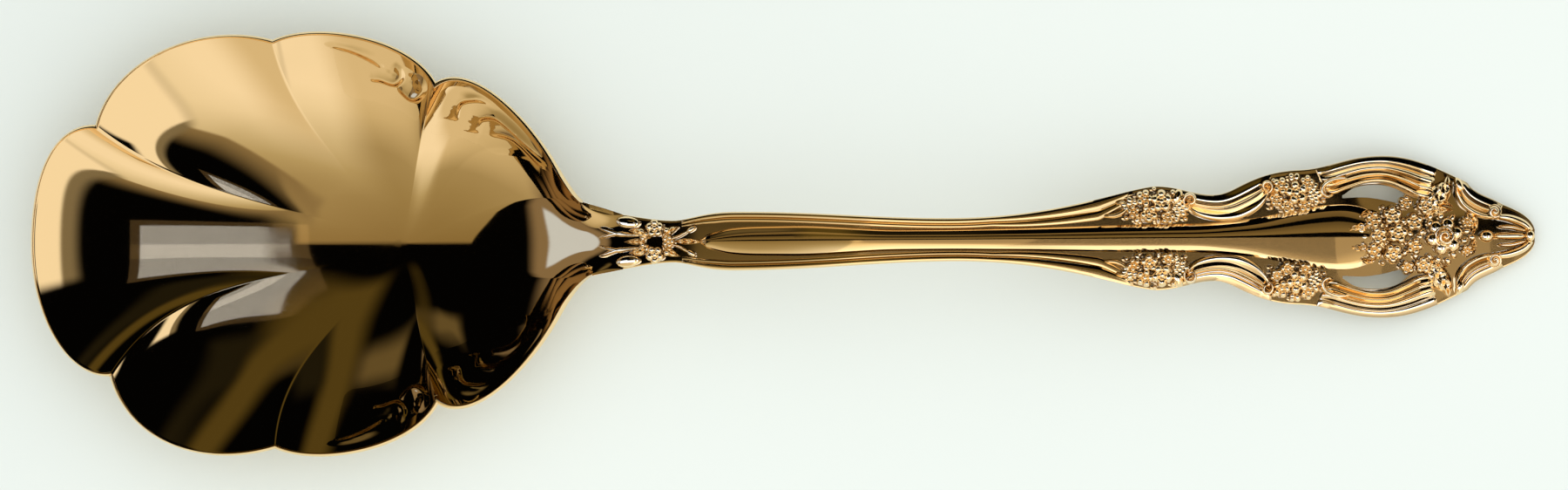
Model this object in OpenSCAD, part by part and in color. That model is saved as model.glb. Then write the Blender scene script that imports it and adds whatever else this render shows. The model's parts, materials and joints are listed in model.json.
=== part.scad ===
// Casserole spoon with a scalloped bowl and a pierced, scrolled handle, lying bowl up.
// X runs from the bowl to the handle, Y is across, Z is up from the table.

/* [Overall] */
// Length from the tip of the bowl to the end of the handle
overall_l = 228; // [200:1:260]

/* [Bowl] */
// Length of the bowl from its tip to the neck joint
bowl_l = 89.4; // [78:0.2:104]
// Width across the widest lobes
bowl_w = 64; // [54:0.5:74]
// Height of the rim above the table
rim_h = 12.5; // [10:0.5:16]
// Thickness of the bowl wall
wall = 1.5; // [1.1:0.1:2.2]
// Thickness of the bowl at its rim
rim_t = 0.8; // [0.6:0.1:1.4]
// How far the flutes sink below the ribs at the rim
flute_d = 0.9; // [0:0.1:1.6]
// How far the ribs bend sideways
rib_bend = 4.3; // [0:0.1:6]
// How far one front notch lies behind the other
notch_skew = 2; // [0:0.5:4]
// Depth of the flat that the bowl rests on
rest_flat = 0.12; // [0.06:0.02:0.3]
// Height of the rounded lip over the wall
lip_h = 0.3; // [0.1:0.1:0.6]

/* [Neck and stem] */
// Length from the neck joint to the slimmest part of the stem
stem_l = 49.4; // [42:0.2:60]
// Width at the neck joint
joint_w = 8.2; // [7.2:0.1:10]
// Width of the slim neck behind the joint
neck_w = 6.3; // [5.6:0.1:7.6]
// Width where the stem swells after the neck
swell_w = 8.8; // [7.8:0.1:10.4]
// Width of the stem where it is slimmest
stem_w = 6.5; // [6:0.1:8]
// Thickness at the neck joint
neck_t = 3; // [2.4:0.1:3.8]
// Thickness of the stem under its ornament
stem_t = 2.2; // [1.6:0.1:3]
// Height of the neck joint above the table
neck_h = 13.5; // [11:0.5:17]
// Upward slope of the handle at the neck joint
neck_slope = 0.32; // [0.16:0.02:0.5]
// Height of the arch of the handle
crown_h = 18.5; // [15.5:0.5:24]
// Distance from the neck joint to the top of the arch
crown_x = 32; // [24:1:42]

/* [Head] */
// Width across the widest part of the head
head_w = 24.6; // [21:0.2:29]
// Thickness of the head under its ornament
head_t = 1.8; // [1.4:0.1:2.6]
// Height of the dome under the bouquet
dome_h = 0.7; // [0:0.1:1.2]

/* [Ornament] */
// Solder film between an ornament and what carries it
solder = 0.1; // [0.05:0.01:0.2]
// Width of the ridges along the stem
rail_w = 1.3; // [1:0.1:1.6]
// Height of the ridges along the stem
rail_h = 1; // [0.6:0.1:1.6]
// Height of the panel along the middle
panel_h = 0.9; // [0.5:0.1:1.5]
// Height of the scrolls on the head
scroll_h = 1.3; // [0.8:0.1:2]
// Height of the blossoms
blossom_h = 1.6; // [1:0.1:2.4]
// Height of the leaves
leaf_h = 1; // [0.6:0.1:1.6]
// Height of the rose
rose_h = 2.4; // [1.6:0.1:3.2]
// Height of the scrolls in the bowl
bowl_scroll_h = 0.7; // [0.4:0.1:1.2]

/* [Hidden] */

gold = [0.90, 0.72, 0.42];
deep_gold = [0.76, 0.56, 0.30];

// Main stations along the spoon
x_tip = -overall_l / 2;
x_neck = x_tip + bowl_l;
x_slim = x_neck + stem_l;
x_end = overall_l / 2;
x_crown = x_neck + crown_x;
head_l = x_end - x_slim;
half_w = bowl_w / 2;

// The ornament of the head is drawn on a grid of this many units along and to one side, and
// stretched with the head
head_grid = [88, 12.3];
kx = head_l / head_grid.x;
ky = head_w / 2 / head_grid.y;
fit = min(kx, ky);
// The ornament of the neck is drawn on a grid of this many units along, to one side at the
// swell, and across the slim neck
neck_grid = [50, 4.45, 6.4];
kn = stem_l / neck_grid.x;
kb = swell_w / 2 / neck_grid.y;
neck_fit = min(kn, kb, neck_w / neck_grid.z);

// Curves and blends
function mix(a, b, t) = a + (b - a) * t;
function smooth(t) = let (c = max(0, min(1, t))) c * c * (3 - 2 * c);
function unit(v) = v / norm(v);
function bez(p, t) =
    pow(1 - t, 3) * p[0] + 3 * t * pow(1 - t, 2) * p[1]
    + 3 * t * t * (1 - t) * p[2] + t * t * t * p[3];
// Parameter at which a curve that runs along X reaches x, found by halving
function param_at(c, x, lo = 0, hi = 1, n = 18) =
    let (m = (lo + hi) / 2)
    n == 0 ? m : bez(c, m).x < x ? param_at(c, x, m, hi, n - 1) : param_at(c, x, lo, m, n - 1);
function clamp_at(list, i) = list[max(0, min(len(list) - 1, i))];
// Point at t on a curve that runs through every point of a list
function through(pts, t) =
    let (
        last = len(pts) - 1,
        i = min(floor(t * last), last - 1),
        f = t * last - i,
        a = pts[i],
        d = pts[i + 1],
        b = a + (d - clamp_at(pts, i - 1)) / 6,
        c = d - (clamp_at(pts, i + 2) - a) / 6
    )
    bez([a, b, c, d], f);

// Meshes: a point list and a face list
function total(v, n) = n == 0 ? 0 : v[n - 1] + total(v, n - 1);
function merge(ms) =
    let (counts = [for (m = ms) len(m[0])])
    [
        [for (m = ms) each m[0]],
        [for (i = [0:len(ms) - 1]) for (f = ms[i][1]) [for (k = f) k + total(counts, i)]]
    ];
function flipped(faces) = [for (f = faces) [f[2], f[1], f[0]]];
function mirrored(m) = [[for (p = m[0]) [p.x, -p.y, p.z]], flipped(m[1])];
// Walls between rings of equal count, the first of which starts at point number start
function ring_walls(rings, count, start) = [
    for (i = [0:rings - 2])
        for (j = [0:count - 1])
            let (
                a = start + i * count + j,
                b = start + i * count + (j + 1) % count,
                c = b + count,
                d = a + count
            )
            each [[a, b, c], [a, c, d]]
];
// Closed skin over a row of rings with flat ends
function loft(rings) =
    let (n = len(rings), m = len(rings[0]), last = (n - 1) * m)
    [
        [for (r = rings) each r],
        concat(
            ring_walls(n, m, 0),
            [for (j = [1:m - 2]) [0, j + 1, j]],
            [for (j = [1:m - 2]) [last, last + j, last + j + 1]]
        )
    ];
// Closed skin over a row of rings between two poles
function spindle(first, rings, final) =
    let (n = len(rings), m = len(rings[0]), top = n * m + 1, last = 1 + (n - 1) * m)
    [
        concat([first], [for (r = rings) each r], [final]),
        flipped(concat(
            [for (j = [0:m - 1]) [0, 1 + (j + 1) % m, 1 + j]],
            ring_walls(n, m, 1),
            [for (j = [0:m - 1]) [top, last + j, last + (j + 1) % m]]
        ))
    ];
module solid(m) {
    polyhedron(points = m[0], faces = m[1], convexity = 10);
}

// Bowl: one half of the rim, as shares of its length and of its half width.
// The front notch differs a little from side to side, as on a hand finished rim.
hub = [x_tip + 0.62 * bowl_l, 0];
floor_z = wall - rest_flat;
// Share of the wall's rise that is a plain dish, the rest being steeper towards the rim
dish = 0.62;
// How far the rim reaches outwards from its inside, at the tip and at the sides
rim_climb = (rim_h - floor_z) * (4 - 2 * dish);
tip_run = rim_t * sin(atan(rim_climb / (hub.x - x_tip)));
side_run = rim_t * sin(atan(rim_climb / half_w));
front_notch = [0.122, 0.583];
side_notch = [0.409, 0.961];
rear_notch = [0.682, 0.736];
shoulder = [0.887, 0.337];
function in_bowl(p) = [x_tip + tip_run + p[0] * (bowl_l - tip_run), p[1] * (half_w - side_run)];
function skew(side) = [0.5 * notch_skew / bowl_l, 0.43 * notch_skew / half_w] * -side;
function rim_segments(side) =
    let (s = skew(side), joint = [x_neck, joint_w / 2])
    [
        [in_bowl([0, 0]), in_bowl([0, 0.365]), in_bowl([0.054, 0.615] + s), in_bowl(front_notch + s)],
        [in_bowl(front_notch + s), in_bowl([0.147, 0.918] + s), in_bowl([0.289, 1.066]),
            in_bowl(side_notch)],
        [in_bowl(side_notch), in_bowl([0.478, 1.06]), in_bowl([0.65, 0.977]), in_bowl(rear_notch)],
        [in_bowl(rear_notch), in_bowl([0.733, 0.876]), in_bowl([0.829, 0.626]), in_bowl(shoulder)],
        [in_bowl(shoulder), in_bowl([0.922, 0.175]), joint - [0.049 * bowl_l, 0.016 * half_w], joint],
        [joint, mix(joint, [x_neck, 0], 1 / 3), mix(joint, [x_neck, 0], 2 / 3), [x_neck, 0]]
    ];
// The same half without its lobes or neck: an oval through the notches, round at both ends
function oval_segments(side) =
    let (
        rim = rim_segments(side),
        knots = [
            in_bowl([0.022, 0]), rim[0][3], rim[1][3], rim[2][3],
            in_bowl([0.87, 0.53]), in_bowl([0.975, 0.24]), [x_neck, 0]
        ],
        pull = [
            [0, 0.62 * half_w],
            for (i = [1:5]) (knots[i + 1] - knots[i - 1]) / 2,
            [0, -0.24 * half_w]
        ]
    )
    [
        for (i = [0:5])
            [knots[i], knots[i] + pull[i] / 3, knots[i + 1] - pull[i + 1] / 3, knots[i + 1]]
    ];
rims = [rim_segments(1), rim_segments(-1)];
ovals = [oval_segments(1), oval_segments(-1)];
// How deep each lobe is fluted, from the tip to the neck
flutes = [1, 1, 0.5, 0.2, 0, 0];
// How near to the hub each flute starts, and where it has its full depth
flute_from = [0.32, 0.32, 0.4, 0.6, 0.6, 0.6];
flute_full = 0.85;
// Shape of the flutes: flat with steep flanks beside the front ribs, a parabola further back
front_power = 4;
rear_power = 2;
function flute_power(seg, off) =
    seg == 0 ? front_power : seg == 1 ? mix(front_power, rear_power, smooth((off + 1) / 2)) : rear_power;
// How far a place belongs to the neck, from the shoulders to the joint
shoulders_x = x_tip + 0.8 * bowl_l;
function neck_share(x) = smooth((x - shoulders_x) / (x_neck - shoulders_x));
// A place on the rim: point, point on the oval, depth and start of flute, neck share of either point
function station(side, seg, t) =
    let (
        k = side > 0 ? 0 : 1,
        p = bez(rims[k][seg], t),
        q = bez(ovals[k][seg], t),
        off = seg == 0 ? t : 2 * t - 1,
        bump = flutes[seg] * (1 - pow(abs(off), flute_power(seg, off)))
    )
    [[p.x, p.y * side], [q.x, q.y * side], bump, flute_from[seg], neck_share(p.x), neck_share(q.x)];
// Rise of the wall from the floor to the rim, and the rise along the neck, which ends at the
// slope of the handle and has this share of its height halfway
neck_end = neck_slope * (x_neck - hub.x) / (neck_h - floor_z);
neck_middle = 0.22;
neck_six = (neck_middle - (4 - neck_end) / 8 - (neck_end - 2) / 32) * 64 / 9;
neck_four = (neck_end - 2) / 2 - 2 * neck_six;
function wall_rise(u) = dish * u * u + (1 - dish) * pow(u, 4);
function neck_rise(u) =
    (1 - neck_four - neck_six) * u * u + neck_four * pow(u, 4) + neck_six * pow(u, 6);
// Towards the joint the bowl becomes a trough: its middle climbs to the joint between the two rims
trough_from = x_tip + 0.7 * bowl_l;
trough_full = x_tip + 0.94 * bowl_l;
// Roundness of the trough's section: 2 is a parabola
trough_power = 2.2;
function on_axis(x) = mix(floor_z, neck_h, neck_rise((x - hub.x) / (x_neck - hub.x)));
function rim_half(x) =
    let (c = x < rims[0][3][3].x ? rims[0][3] : rims[0][4])
    bez(c, param_at(c, x)).y;
function trough(p) =
    let (share = pow(min(1, abs(p.y) / rim_half(p.x)), trough_power))
    mix(on_axis(p.x), mix(rim_h, neck_h, neck_share(p.x)), share);
function bowl_height(u, st, p) =
    let (
        dished = mix(floor_z, mix(rim_h, neck_h, st[4]), mix(wall_rise(u), neck_rise(u), st[5])),
        share = smooth((p.x - trough_from) / (trough_full - trough_from))
    )
    share > 0 ? mix(dished, trough(p), share) : dished;
// A line from the hub to the rim, bent as the ribs are: those that run aslant bend most, and those
// of one side more than those of the other
rib_lean = 0.35;
bend_peak = 4 / 27 * 2 / (3 * sqrt(3));
function bowl_plan(u, end) =
    let (
        ray = unit(end - hub),
        aslant = ray.y * ray.x * ray.x * (1 + rib_lean * sign(ray.y) * ray.x)
    )
    mix(hub, end, u) + u * u * (1 - u) * rib_bend / bend_peak * aslant * [-ray.y, ray.x];
function plain_bowl(u, st) = let (p = bowl_plan(u, st[1])) [p.x, p.y, bowl_height(u, st, p)];
// Inside of the bowl
function bowl_inside(u, st) =
    let (
        p = bowl_plan(u, mix(st[1], st[0], u * u)),
        sunk = flute_d * st[2] * smooth((u - st[3]) / (flute_full - st[3]))
    )
    [p.x, p.y, bowl_height(u, st, p) - sunk];
// Outward direction through the wall, turning straight down at the neck joint
function bowl_out(u, side, seg, t) =
    let (
        e = 0.02,
        t0 = max(0, t - e),
        t1 = min(1, t + e),
        st = station(side, seg, t),
        along = plain_bowl(u, station(side, seg, t1)) - plain_bowl(u, station(side, seg, t0)),
        up = plain_bowl(min(1, u + e), st) - plain_bowl(max(0.01, u - e), st),
        n = unit(cross(up, along)) * (cross(up, along).z > 0 ? -1 : 1)
    )
    unit(mix(n, [0, 0, -1], st[4] * u));
// Underside of a plate: its edges are rounded upwards by this share of the thickness
edge_rise = 0.45;
function plate_t(t, y, half) = t * (1 - edge_rise * pow(min(1, abs(y) / half), 4));
// The wall thins towards the rim from this share of the way on
thin_from = 0.6;
function bowl_wall(u, st) =
    let (thin = mix(wall, rim_t, smooth((u - thin_from) / (1 - thin_from))))
    mix(thin, plate_t(neck_t, st[0].y, joint_w / 2), st[4] * u * u);
function bowl_outside(u, side, seg, t) =
    let (
        st = station(side, seg, t),
        p = bowl_inside(u, st) + bowl_out(u, side, seg, t) * bowl_wall(u, st)
    )
    [min(p.x, x_neck), p.y, max(0, p.z)];
// Lip: halfway between inside and outside, raised, and flat at the joint
function bowl_lip(side, seg, t) =
    let (
        a = bowl_inside(1, station(side, seg, t)),
        b = bowl_outside(1, side, seg, t)
    )
    mix(a, b, 0.5) + [0, 0, lip_h] * (seg == 5 ? 0 : 1 - station(side, seg, t)[4]);

rim_steps = [6, 9, 8, 6, 4, 2];
bowl_rings = [0.1, 0.2, 0.3, 0.4, 0.5, 0.6, 0.7, 0.8, 0.88, 0.95, 1];
rim_places = concat(
    [for (seg = [0:5]) for (i = [0:rim_steps[seg] - 1]) [1, seg, i / rim_steps[seg]]],
    [[1, 5, 1]],
    [
        for (seg = [5:-1:0])
            for (i = [rim_steps[seg] - 1:-1:0])
                if (seg + i > 0) [-1, seg, i / rim_steps[seg]]
    ]
);
module bowl() {
    inside = [for (u = bowl_rings) [for (p = rim_places) bowl_inside(u, station(p[0], p[1], p[2]))]];
    lip = [for (p = rim_places) bowl_lip(p[0], p[1], p[2])];
    last = len(bowl_rings) - 1;
    outside = [
        for (i = [last:-1:0])
            [for (p = rim_places) bowl_outside(bowl_rings[i], p[0], p[1], p[2])]
    ];
    color(gold)
    solid(spindle([hub.x, 0, floor_z], concat(inside, [lip], outside), [hub.x, 0, 0]));
}

// Handle: height of the top of the blank along the spine
function bend(a, b, t) =
    let (h = b.x - a.x, s = t * t * (3 - 2 * t))
    mix(a.y, b.y, s) + h * (a.z * t * pow(1 - t, 2) - b.z * t * t * (1 - t));
function spine(x) =
    x < x_crown
        ? bend([x_neck, neck_h, neck_slope], [x_crown, crown_h, 0], (x - x_neck) / (x_crown - x_neck))
        : bend([x_crown, crown_h, 0], [x_end, head_t, 0], (x - x_crown) / (x_end - x_crown));
function blank_t(x) =
    x < x_slim
        ? mix(neck_t, stem_t, smooth((x - x_neck) / (0.4 * stem_l)))
        : mix(stem_t, head_t, smooth((x - x_slim) / (0.5 * head_l)));
// Places on the neck and on the head, from their drawn sizes
function on_neck(s, b) = [x_neck + s * kn, b * kb];
function on_head(a, b) = [x_slim + a * kx, b * ky];
// The top of the head swells under the bouquet, between these places and to this half width
dome_from = [57, 65];
dome_to = [80, 87];
dome_half = 9.5;
function blank_top(x, y) =
    let (
        a = (x - x_slim) / kx,
        rise = smooth((a - dome_from[0]) / (dome_from[1] - dome_from[0])),
        fall = smooth((dome_to[1] - a) / (dome_to[1] - dome_to[0]))
    )
    spine(x) + dome_h * rise * fall * max(0, 1 - pow(y / ky / dome_half, 2));
// Top of what carries the ornament: the blank, or the neck of the bowl before it
function carrier(p) = p.x < x_neck ? trough(p) : blank_top(p.x, p.y);
// The bowl is hollow under the ornament, so the film is thicker there
bowl_film = 1.8 * solder;
function seat(p, h) = [p.x, p.y, carrier(p) + (p.x < x_neck ? bowl_film : solder) + h];

// Edge of the blank, as half widths from the neck joint to the end
edge = [
    [[x_neck, joint_w / 2], [x_neck + 2 * kn, 0.463 * joint_w], [x_neck + 5 * kn, neck_w / 2],
        [x_neck + 7.7 * kn, neck_w / 2]],
    [[x_neck + 7.7 * kn, neck_w / 2], [x_neck + 10 * kn, neck_w / 2], [x_neck + 12 * kn, swell_w / 2],
        [x_neck + 17 * kn, swell_w / 2]],
    [[x_neck + 17 * kn, swell_w / 2], [x_neck + 30 * kn, swell_w / 2], [x_neck + 38 * kn, stem_w / 2],
        [x_slim, stem_w / 2]],
    [[x_slim, stem_w / 2], [x_slim + 16 * kx, stem_w / 2], on_head(25.5, 7.5), on_head(30.5, 7.85)],
    [on_head(30.5, 7.85), on_head(34, 7.85), on_head(36, 6.5), on_head(39.3, 6.5)],
    [on_head(39.3, 6.5), on_head(42.5, 6.5), on_head(44.5, 9.8), on_head(52, 10.2)],
    [on_head(52, 10.2), on_head(57, 10.3), on_head(59, 12.3), on_head(65, 12.3)],
    [on_head(65, 12.3), on_head(69.5, 12.3), on_head(73, 10.6), on_head(77.8, 8.2)],
    [on_head(77.8, 8.2), on_head(79.2, 6.2), on_head(81, 6.2), on_head(83, 4.9)],
    [on_head(83, 4.9), on_head(85.5, 3.9), on_head(87.6, 2.9), on_head(88, 1)]
];
edge_steps = [3, 4, 4, 6, 4, 5, 4, 6, 3, 5];
// Half width of the blank at x
function edge_at(x) =
    let (c = [for (c = edge) if (x >= c[0].x && x <= c[3].x) c][0])
    bez(c, param_at(c, x)).y;

// Piercings: a crescent between an inner and an outer edge
slot_from = 58.8;
slot_to = 69.6;
slot_inner = [[58.8, 5.9], [62, 6], [65, 5.6], [67.5, 5], [69.6, 4.7]];
slot_outer = [[58.8, 6.3], [60.8, 7.5], [64, 7.9], [67.2, 7.2], [69.6, 5.3]];
slot_steps = 8;
slot_lines = [
    for (i = [0:slot_steps])
        [through(slot_inner, i / slot_steps), through(slot_outer, i / slot_steps)]
];
// Stations of the blank: x, half width and the two lines that carry the piercings
function plain_station(x, w) = [x, w, 0.5 * w, 0.78 * w];
blank_front = [
    for (i = [0:len(edge) - 1])
        for (j = [0:edge_steps[i] - 1])
            let (p = bez(edge[i], j / edge_steps[i]))
            if (p.x < on_head(slot_from - 1, 0).x) plain_station(p.x, p.y)
];
blank_rear = [
    for (i = [0:len(edge) - 1])
        for (j = [0:edge_steps[i]])
            let (p = bez(edge[i], j / edge_steps[i]))
            if (p.x > on_head(slot_to + 1, 0).x && (j > 0 || i == 0)) plain_station(p.x, p.y)
];
blank_middle = [
    for (s = slot_lines)
        let (x = on_head(s[0].x, 0).x)
        [x, edge_at(x), on_head(0, s[0].y).y, on_head(0, s[1].y).y]
];
stations = concat(blank_front, blank_middle, blank_rear);
slot_first = len(blank_front);
slot_last = slot_first + slot_steps;
// Lines across the blank, from one edge to the other
function blank_lines(st) = [-st[1], -st[3], -st[2], -st[2] / 2, 0, st[2] / 2, st[2], st[3], st[1]];
lines = 9;
function blank_point(i, j, top) =
    let (st = stations[i], y = blank_lines(st)[j], z = spine(st[0]))
    [st[0], y, top ? blank_top(st[0], y) : z - plate_t(blank_t(st[0]), y, st[1])];
function is_slot(i, j) = i >= slot_first && i < slot_last && (j == 1 || j == 6);
function quad(a, b, c, d) = [[a, b, c], [a, c, d]];
module handle_blank() {
    n = len(stations);
    top = [for (i = [0:n - 1]) for (j = [0:lines - 1]) blank_point(i, j, true)];
    under = [for (i = [0:n - 1]) for (j = [0:lines - 1]) blank_point(i, j, false)];
    size = n * lines;
    skins = [
        for (i = [0:n - 2])
            for (j = [0:lines - 2])
                let (a = i * lines + j)
                if (!is_slot(i, j))
                    each concat(
                        quad(a, a + 1, a + 1 + lines, a + lines),
                        quad(size + a, size + a + lines, size + a + 1 + lines, size + a + 1)
                    )
    ];
    sides = [
        for (i = [0:n - 2])
            let (a = i * lines, b = a + lines - 1)
            each concat(
                quad(a, a + lines, size + a + lines, size + a),
                quad(b, size + b, size + b + lines, b + lines)
            )
    ];
    ends = [
        for (j = [0:lines - 2])
            let (b = (n - 1) * lines + j)
            each concat(quad(j, size + j, size + j + 1, j + 1), quad(b, b + 1, size + b + 1, size + b))
    ];
    slot_sides = [
        for (j = [1, 6])
            for (i = [slot_first:slot_last - 1])
                let (a = i * lines + j, b = a + 1)
                each concat(
                    quad(a, size + a, size + a + lines, a + lines),
                    quad(b, b + lines, size + b + lines, size + b)
                )
    ];
    slot_ends = [
        for (j = [1, 6])
            let (a = slot_first * lines + j, b = slot_last * lines + j)
            each concat(quad(a, a + 1, size + a + 1, size + a), quad(b, size + b, size + b + 1, b + 1))
    ];
    color(gold)
    solid([concat(top, under), concat(skins, sides, ends, slot_sides, slot_ends)]);
}

// Sections of the strips: offset as a share of the width, height as a share of the height
ridge = [[-0.5, 0], [-0.34, 0.75], [0, 1], [0.34, 0.75], [0.5, 0]];
triple_ridge = [
    [-0.5, 0], [-0.42, 0.75], [-0.28, 0.85], [-0.18, 0.5], [-0.08, 1], [0.08, 1], [0.18, 0.5],
    [0.3, 0.8], [0.43, 0.65], [0.5, 0]
];
// Bare margin between the edge of the blank and what runs along it
edge_margin = 0.05;
// Width along a strip: slim at both ends
function taper(t, ends) = mix(ends, 1, pow(sin(180 * t), 0.6));
// A strip on the handle along a curve through plan points
function strip(pts, width, height, section, steps, ends) =
    loft([
        for (i = [0:steps])
            let (
                t = i / steps,
                e = 0.5 / steps,
                c = through(pts, t),
                along = unit(through(pts, min(1, t + e)) - through(pts, max(0, t - e))),
                across = [-along.y, along.x],
                k = taper(t, ends)
            )
            [for (s = section) seat(c + across * s[0] * width * k, s[1] * height * k)]
    ]);
// A strip on the head between its edge, from one place along it to another, and an inner line
function edge_band(from, to, inner, height, steps, ends) =
    loft([
        for (i = [0:steps])
            let (
                t = i / steps,
                x = on_head(mix(from, to, t), 0).x,
                rim = [x, edge_at(x) - edge_margin],
                p = through(inner, t),
                line = on_head(p.x, p.y)
            )
            [for (s = triple_ridge) seat(mix(line, rim, s[0] + 0.5), s[1] * height * taper(t, ends))]
    ]);
// A flower: rings given as share of the radius, share of the height and how far the petals show in
// it, and whether it is turned by half a petal
open_flower = [[1, 0, 1, 0], [1, 0.35, 1, 0], [0.76, 0.85, 1, 0], [0.44, 0.42, 0, 0], [0.26, 0.9, 0, 0]];
full_flower = [
    [1, 0, 1, 0], [1, 0.25, 1, 0], [0.8, 0.62, 1, 0], [0.62, 0.4, 0.4, 0],
    [0.58, 0.8, 1, 1], [0.42, 0.9, 1, 1], [0.3, 0.6, 0, 1], [0.18, 0.95, 0, 1]
];
function blossom(c, r, h, petals, turn, rows = open_flower) =
    let (
        n = petals * 4,
        rings = [
            for (row = rows)
                [
                    for (j = [0:n - 1])
                        let (
                            a = turn + 360 * j / n,
                            lobe = mix(1, abs(cos(petals * 180 * j / n + 90 * row[3])), row[2]),
                            reach = r * row[0] * mix(0.8, 1, lobe)
                        )
                        seat(c + reach * [cos(a), sin(a)], h * row[1] * mix(0.6, 1, lobe))
                ]
        ]
    )
    spindle(seat(c, 0), rings, seat(c, h));
// A pointed leaf with a raised vein, from its stalk to its tip
function leaf(from, tip, width, h) =
    let (
        along = tip - from,
        across = [-along.y, along.x] / norm(along),
        rows = [[0, 0.12], [0.2, 0.75], [0.45, 1], [0.72, 0.7], [1, 0.08]]
    )
    loft([
        for (row = rows)
            let (c = from + along * row[0], w = across * width / 2 * row[1], k = 0.35 + 0.65 * row[1])
            [
                seat(c - w, 0), seat(c - w * 0.55, 0.75 * h * k), seat(c, h * k),
                seat(c + w * 0.55, 0.75 * h * k), seat(c + w, 0)
            ]
    ]);
// A round bead
function bead(c, r, h) =
    let (n = 8, rows = [[1, 0], [0.92, 0.5], [0.6, 0.86]])
    spindle(
        seat(c, 0),
        [
            for (row = rows)
                [
                    for (j = [0:n - 1])
                        let (a = 360 * j / n)
                        seat(c + r * row[0] * [cos(a), sin(a)], h * row[1])
                ]
        ],
        seat(c, h)
    );
module both_ways(m, side) {
    solid(side > 0 ? m : mirrored(m));
}

// Panel along the middle, from the neck to the bouquet, with a groove beside it
groove_w = 0.35;
panel_row = [
    [x_neck + 11.5 * kn, 1.1 * kb], [x_neck + 13.2 * kn, 2 * kb], [x_neck + 17 * kn, 2.3 * kb],
    [x_neck + 28 * kn, swell_w / 2 - rail_w - 3 * groove_w],
    [x_neck + 40 * kn, stem_w / 2 - rail_w - groove_w], [x_slim, stem_w / 2 - rail_w - groove_w],
    on_head(12, 1.75), on_head(24, 2), on_head(38, 2.2), on_head(46, 3), on_head(53, 4.4),
    on_head(57, 5), on_head(58.6, 4.5), on_head(59.2, 3)
];
panel_steps = 30;
module centre_panel() {
    section = [[-1, 0], [-0.94, 0.45], [-0.6, 0.8], [0, 1], [0.6, 0.8], [0.94, 0.45], [1, 0]];
    color(gold)
    solid(loft([
        for (i = [0:panel_steps])
            let (p = through(panel_row, i / panel_steps))
            [for (s = section) seat([p.x, s[0] * p.y], s[1] * panel_h)]
    ]));
}

// Ridges along the edges of the stem, with a curl at the head end
rail_inset = rail_w / 2 + edge_margin;
rail_route = concat(
    [for (s = [9, 12, 17, 24, 32, 41]) let (x = x_neck + s * kn) [x, edge_at(x) - rail_inset]],
    [for (a = [0, 8, 14, 19, 23]) let (x = on_head(a, 0).x) [x, edge_at(x) - rail_inset]],
    [on_head(25.6, 5.5), on_head(26.6, 4.6), on_head(26.1, 3.7), on_head(25.1, 3.7)]
);
function border_rail() = strip(rail_route, rail_w, rail_h, ridge, 36, 0.55);
module border_rail_left() color(gold) both_ways(border_rail(), 1);
module border_rail_right() color(gold) both_ways(border_rail(), -1);

// Scrolls of the head: ridged bands along its edge, each with its own inner line
waist_line = [[36, 4.9], [36.9, 3.8], [38.6, 3], [40.9, 2.9], [43.6, 3.4], [46.2, 4.6], [47.9, 6.9]];
frame_line = [
    [56.6, 6.5], [57.8, 6.6], [59.4, 7.2], [62.5, 8.2], [65.5, 8.1], [68.2, 7], [70.2, 6], [72.2, 5.6]
];
tip_line = [[75.9, 7.8], [76, 6.2], [76.9, 4.5], [78.7, 3.2], [80.8, 2.6], [82.4, 2.8]];
// Share of a scroll's height that is left at its ends
scroll_ends = 0.4;
function waist_scroll() = edge_band(35.3, 47.9, waist_line, scroll_h, 14, scroll_ends);
function frame_scroll() = edge_band(55, 72.6, frame_line, scroll_h, 17, scroll_ends);
function tip_scroll() = merge([
    edge_band(76.5, 83, tip_line, scroll_h, 10, scroll_ends),
    leaf(on_head(73.4, 5.4), on_head(75, 9), 2.2 * fit, scroll_h)
]);
module waist_scroll_left() color(gold) both_ways(waist_scroll(), 1);
module waist_scroll_right() color(gold) both_ways(waist_scroll(), -1);
module frame_scroll_left() color(gold) both_ways(frame_scroll(), 1);
module frame_scroll_right() color(gold) both_ways(frame_scroll(), -1);
module tip_scroll_left() color(gold) both_ways(tip_scroll(), 1);
module tip_scroll_right() color(gold) both_ways(tip_scroll(), -1);

// Teardrop between two small volutes at the very end
module tip_finial() {
    fattest = 1.25;
    rows = [[79.6, 0.3], [81, 0.9], [83, fattest], [85, 1.1], [86.6, 0.7], [87.4, 0.3]];
    drop = loft([
        for (row = rows)
            let (h = blossom_h * mix(0.4, 1, row[1] / fattest))
            [for (s = ridge) seat(on_head(row[0], 2 * s[0] * row[1]), s[1] * h)]
    ]);
    volute = bead(on_head(84.9, 2.4), 1.1 * fit, scroll_h);
    color(gold)
    solid(merge([drop, volute, mirrored(volute)]));
}

// Flower sprays: two blossoms with a bud and leaves between them
function stem_spray() = merge([
    blossom(on_head(31.1, 5.1), 2.1 * fit, blossom_h, 5, 20),
    blossom(on_head(28.1, 4), 1.05 * fit, 0.8 * blossom_h, 5, 50),
    bead(on_head(33.9, 3.5), 1 * fit, 0.8 * blossom_h),
    leaf(on_head(33.3, 5.9), on_head(34.6, 7), 1.1 * fit, leaf_h),
    leaf(on_head(28.6, 5.7), on_head(27.1, 6.1), 0.9 * fit, leaf_h)
]);
function head_spray() = merge([
    blossom(on_head(51.8, 7.7), 2.2 * fit, blossom_h, 5, 40),
    blossom(on_head(49.2, 5.5), 1.15 * fit, 0.8 * blossom_h, 5, 10),
    bead(on_head(54.3, 6.1), 0.9 * fit, 0.8 * blossom_h),
    leaf(on_head(49.6, 8.2), on_head(48.5, 9.2), 1.1 * fit, leaf_h),
    leaf(on_head(54.1, 8), on_head(54.5, 9.3), 1 * fit, leaf_h)
]);
module stem_spray_left() color(gold) both_ways(stem_spray(), 1);
module stem_spray_right() color(gold) both_ways(stem_spray(), -1);
module head_spray_left() color(gold) both_ways(head_spray(), 1);
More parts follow.
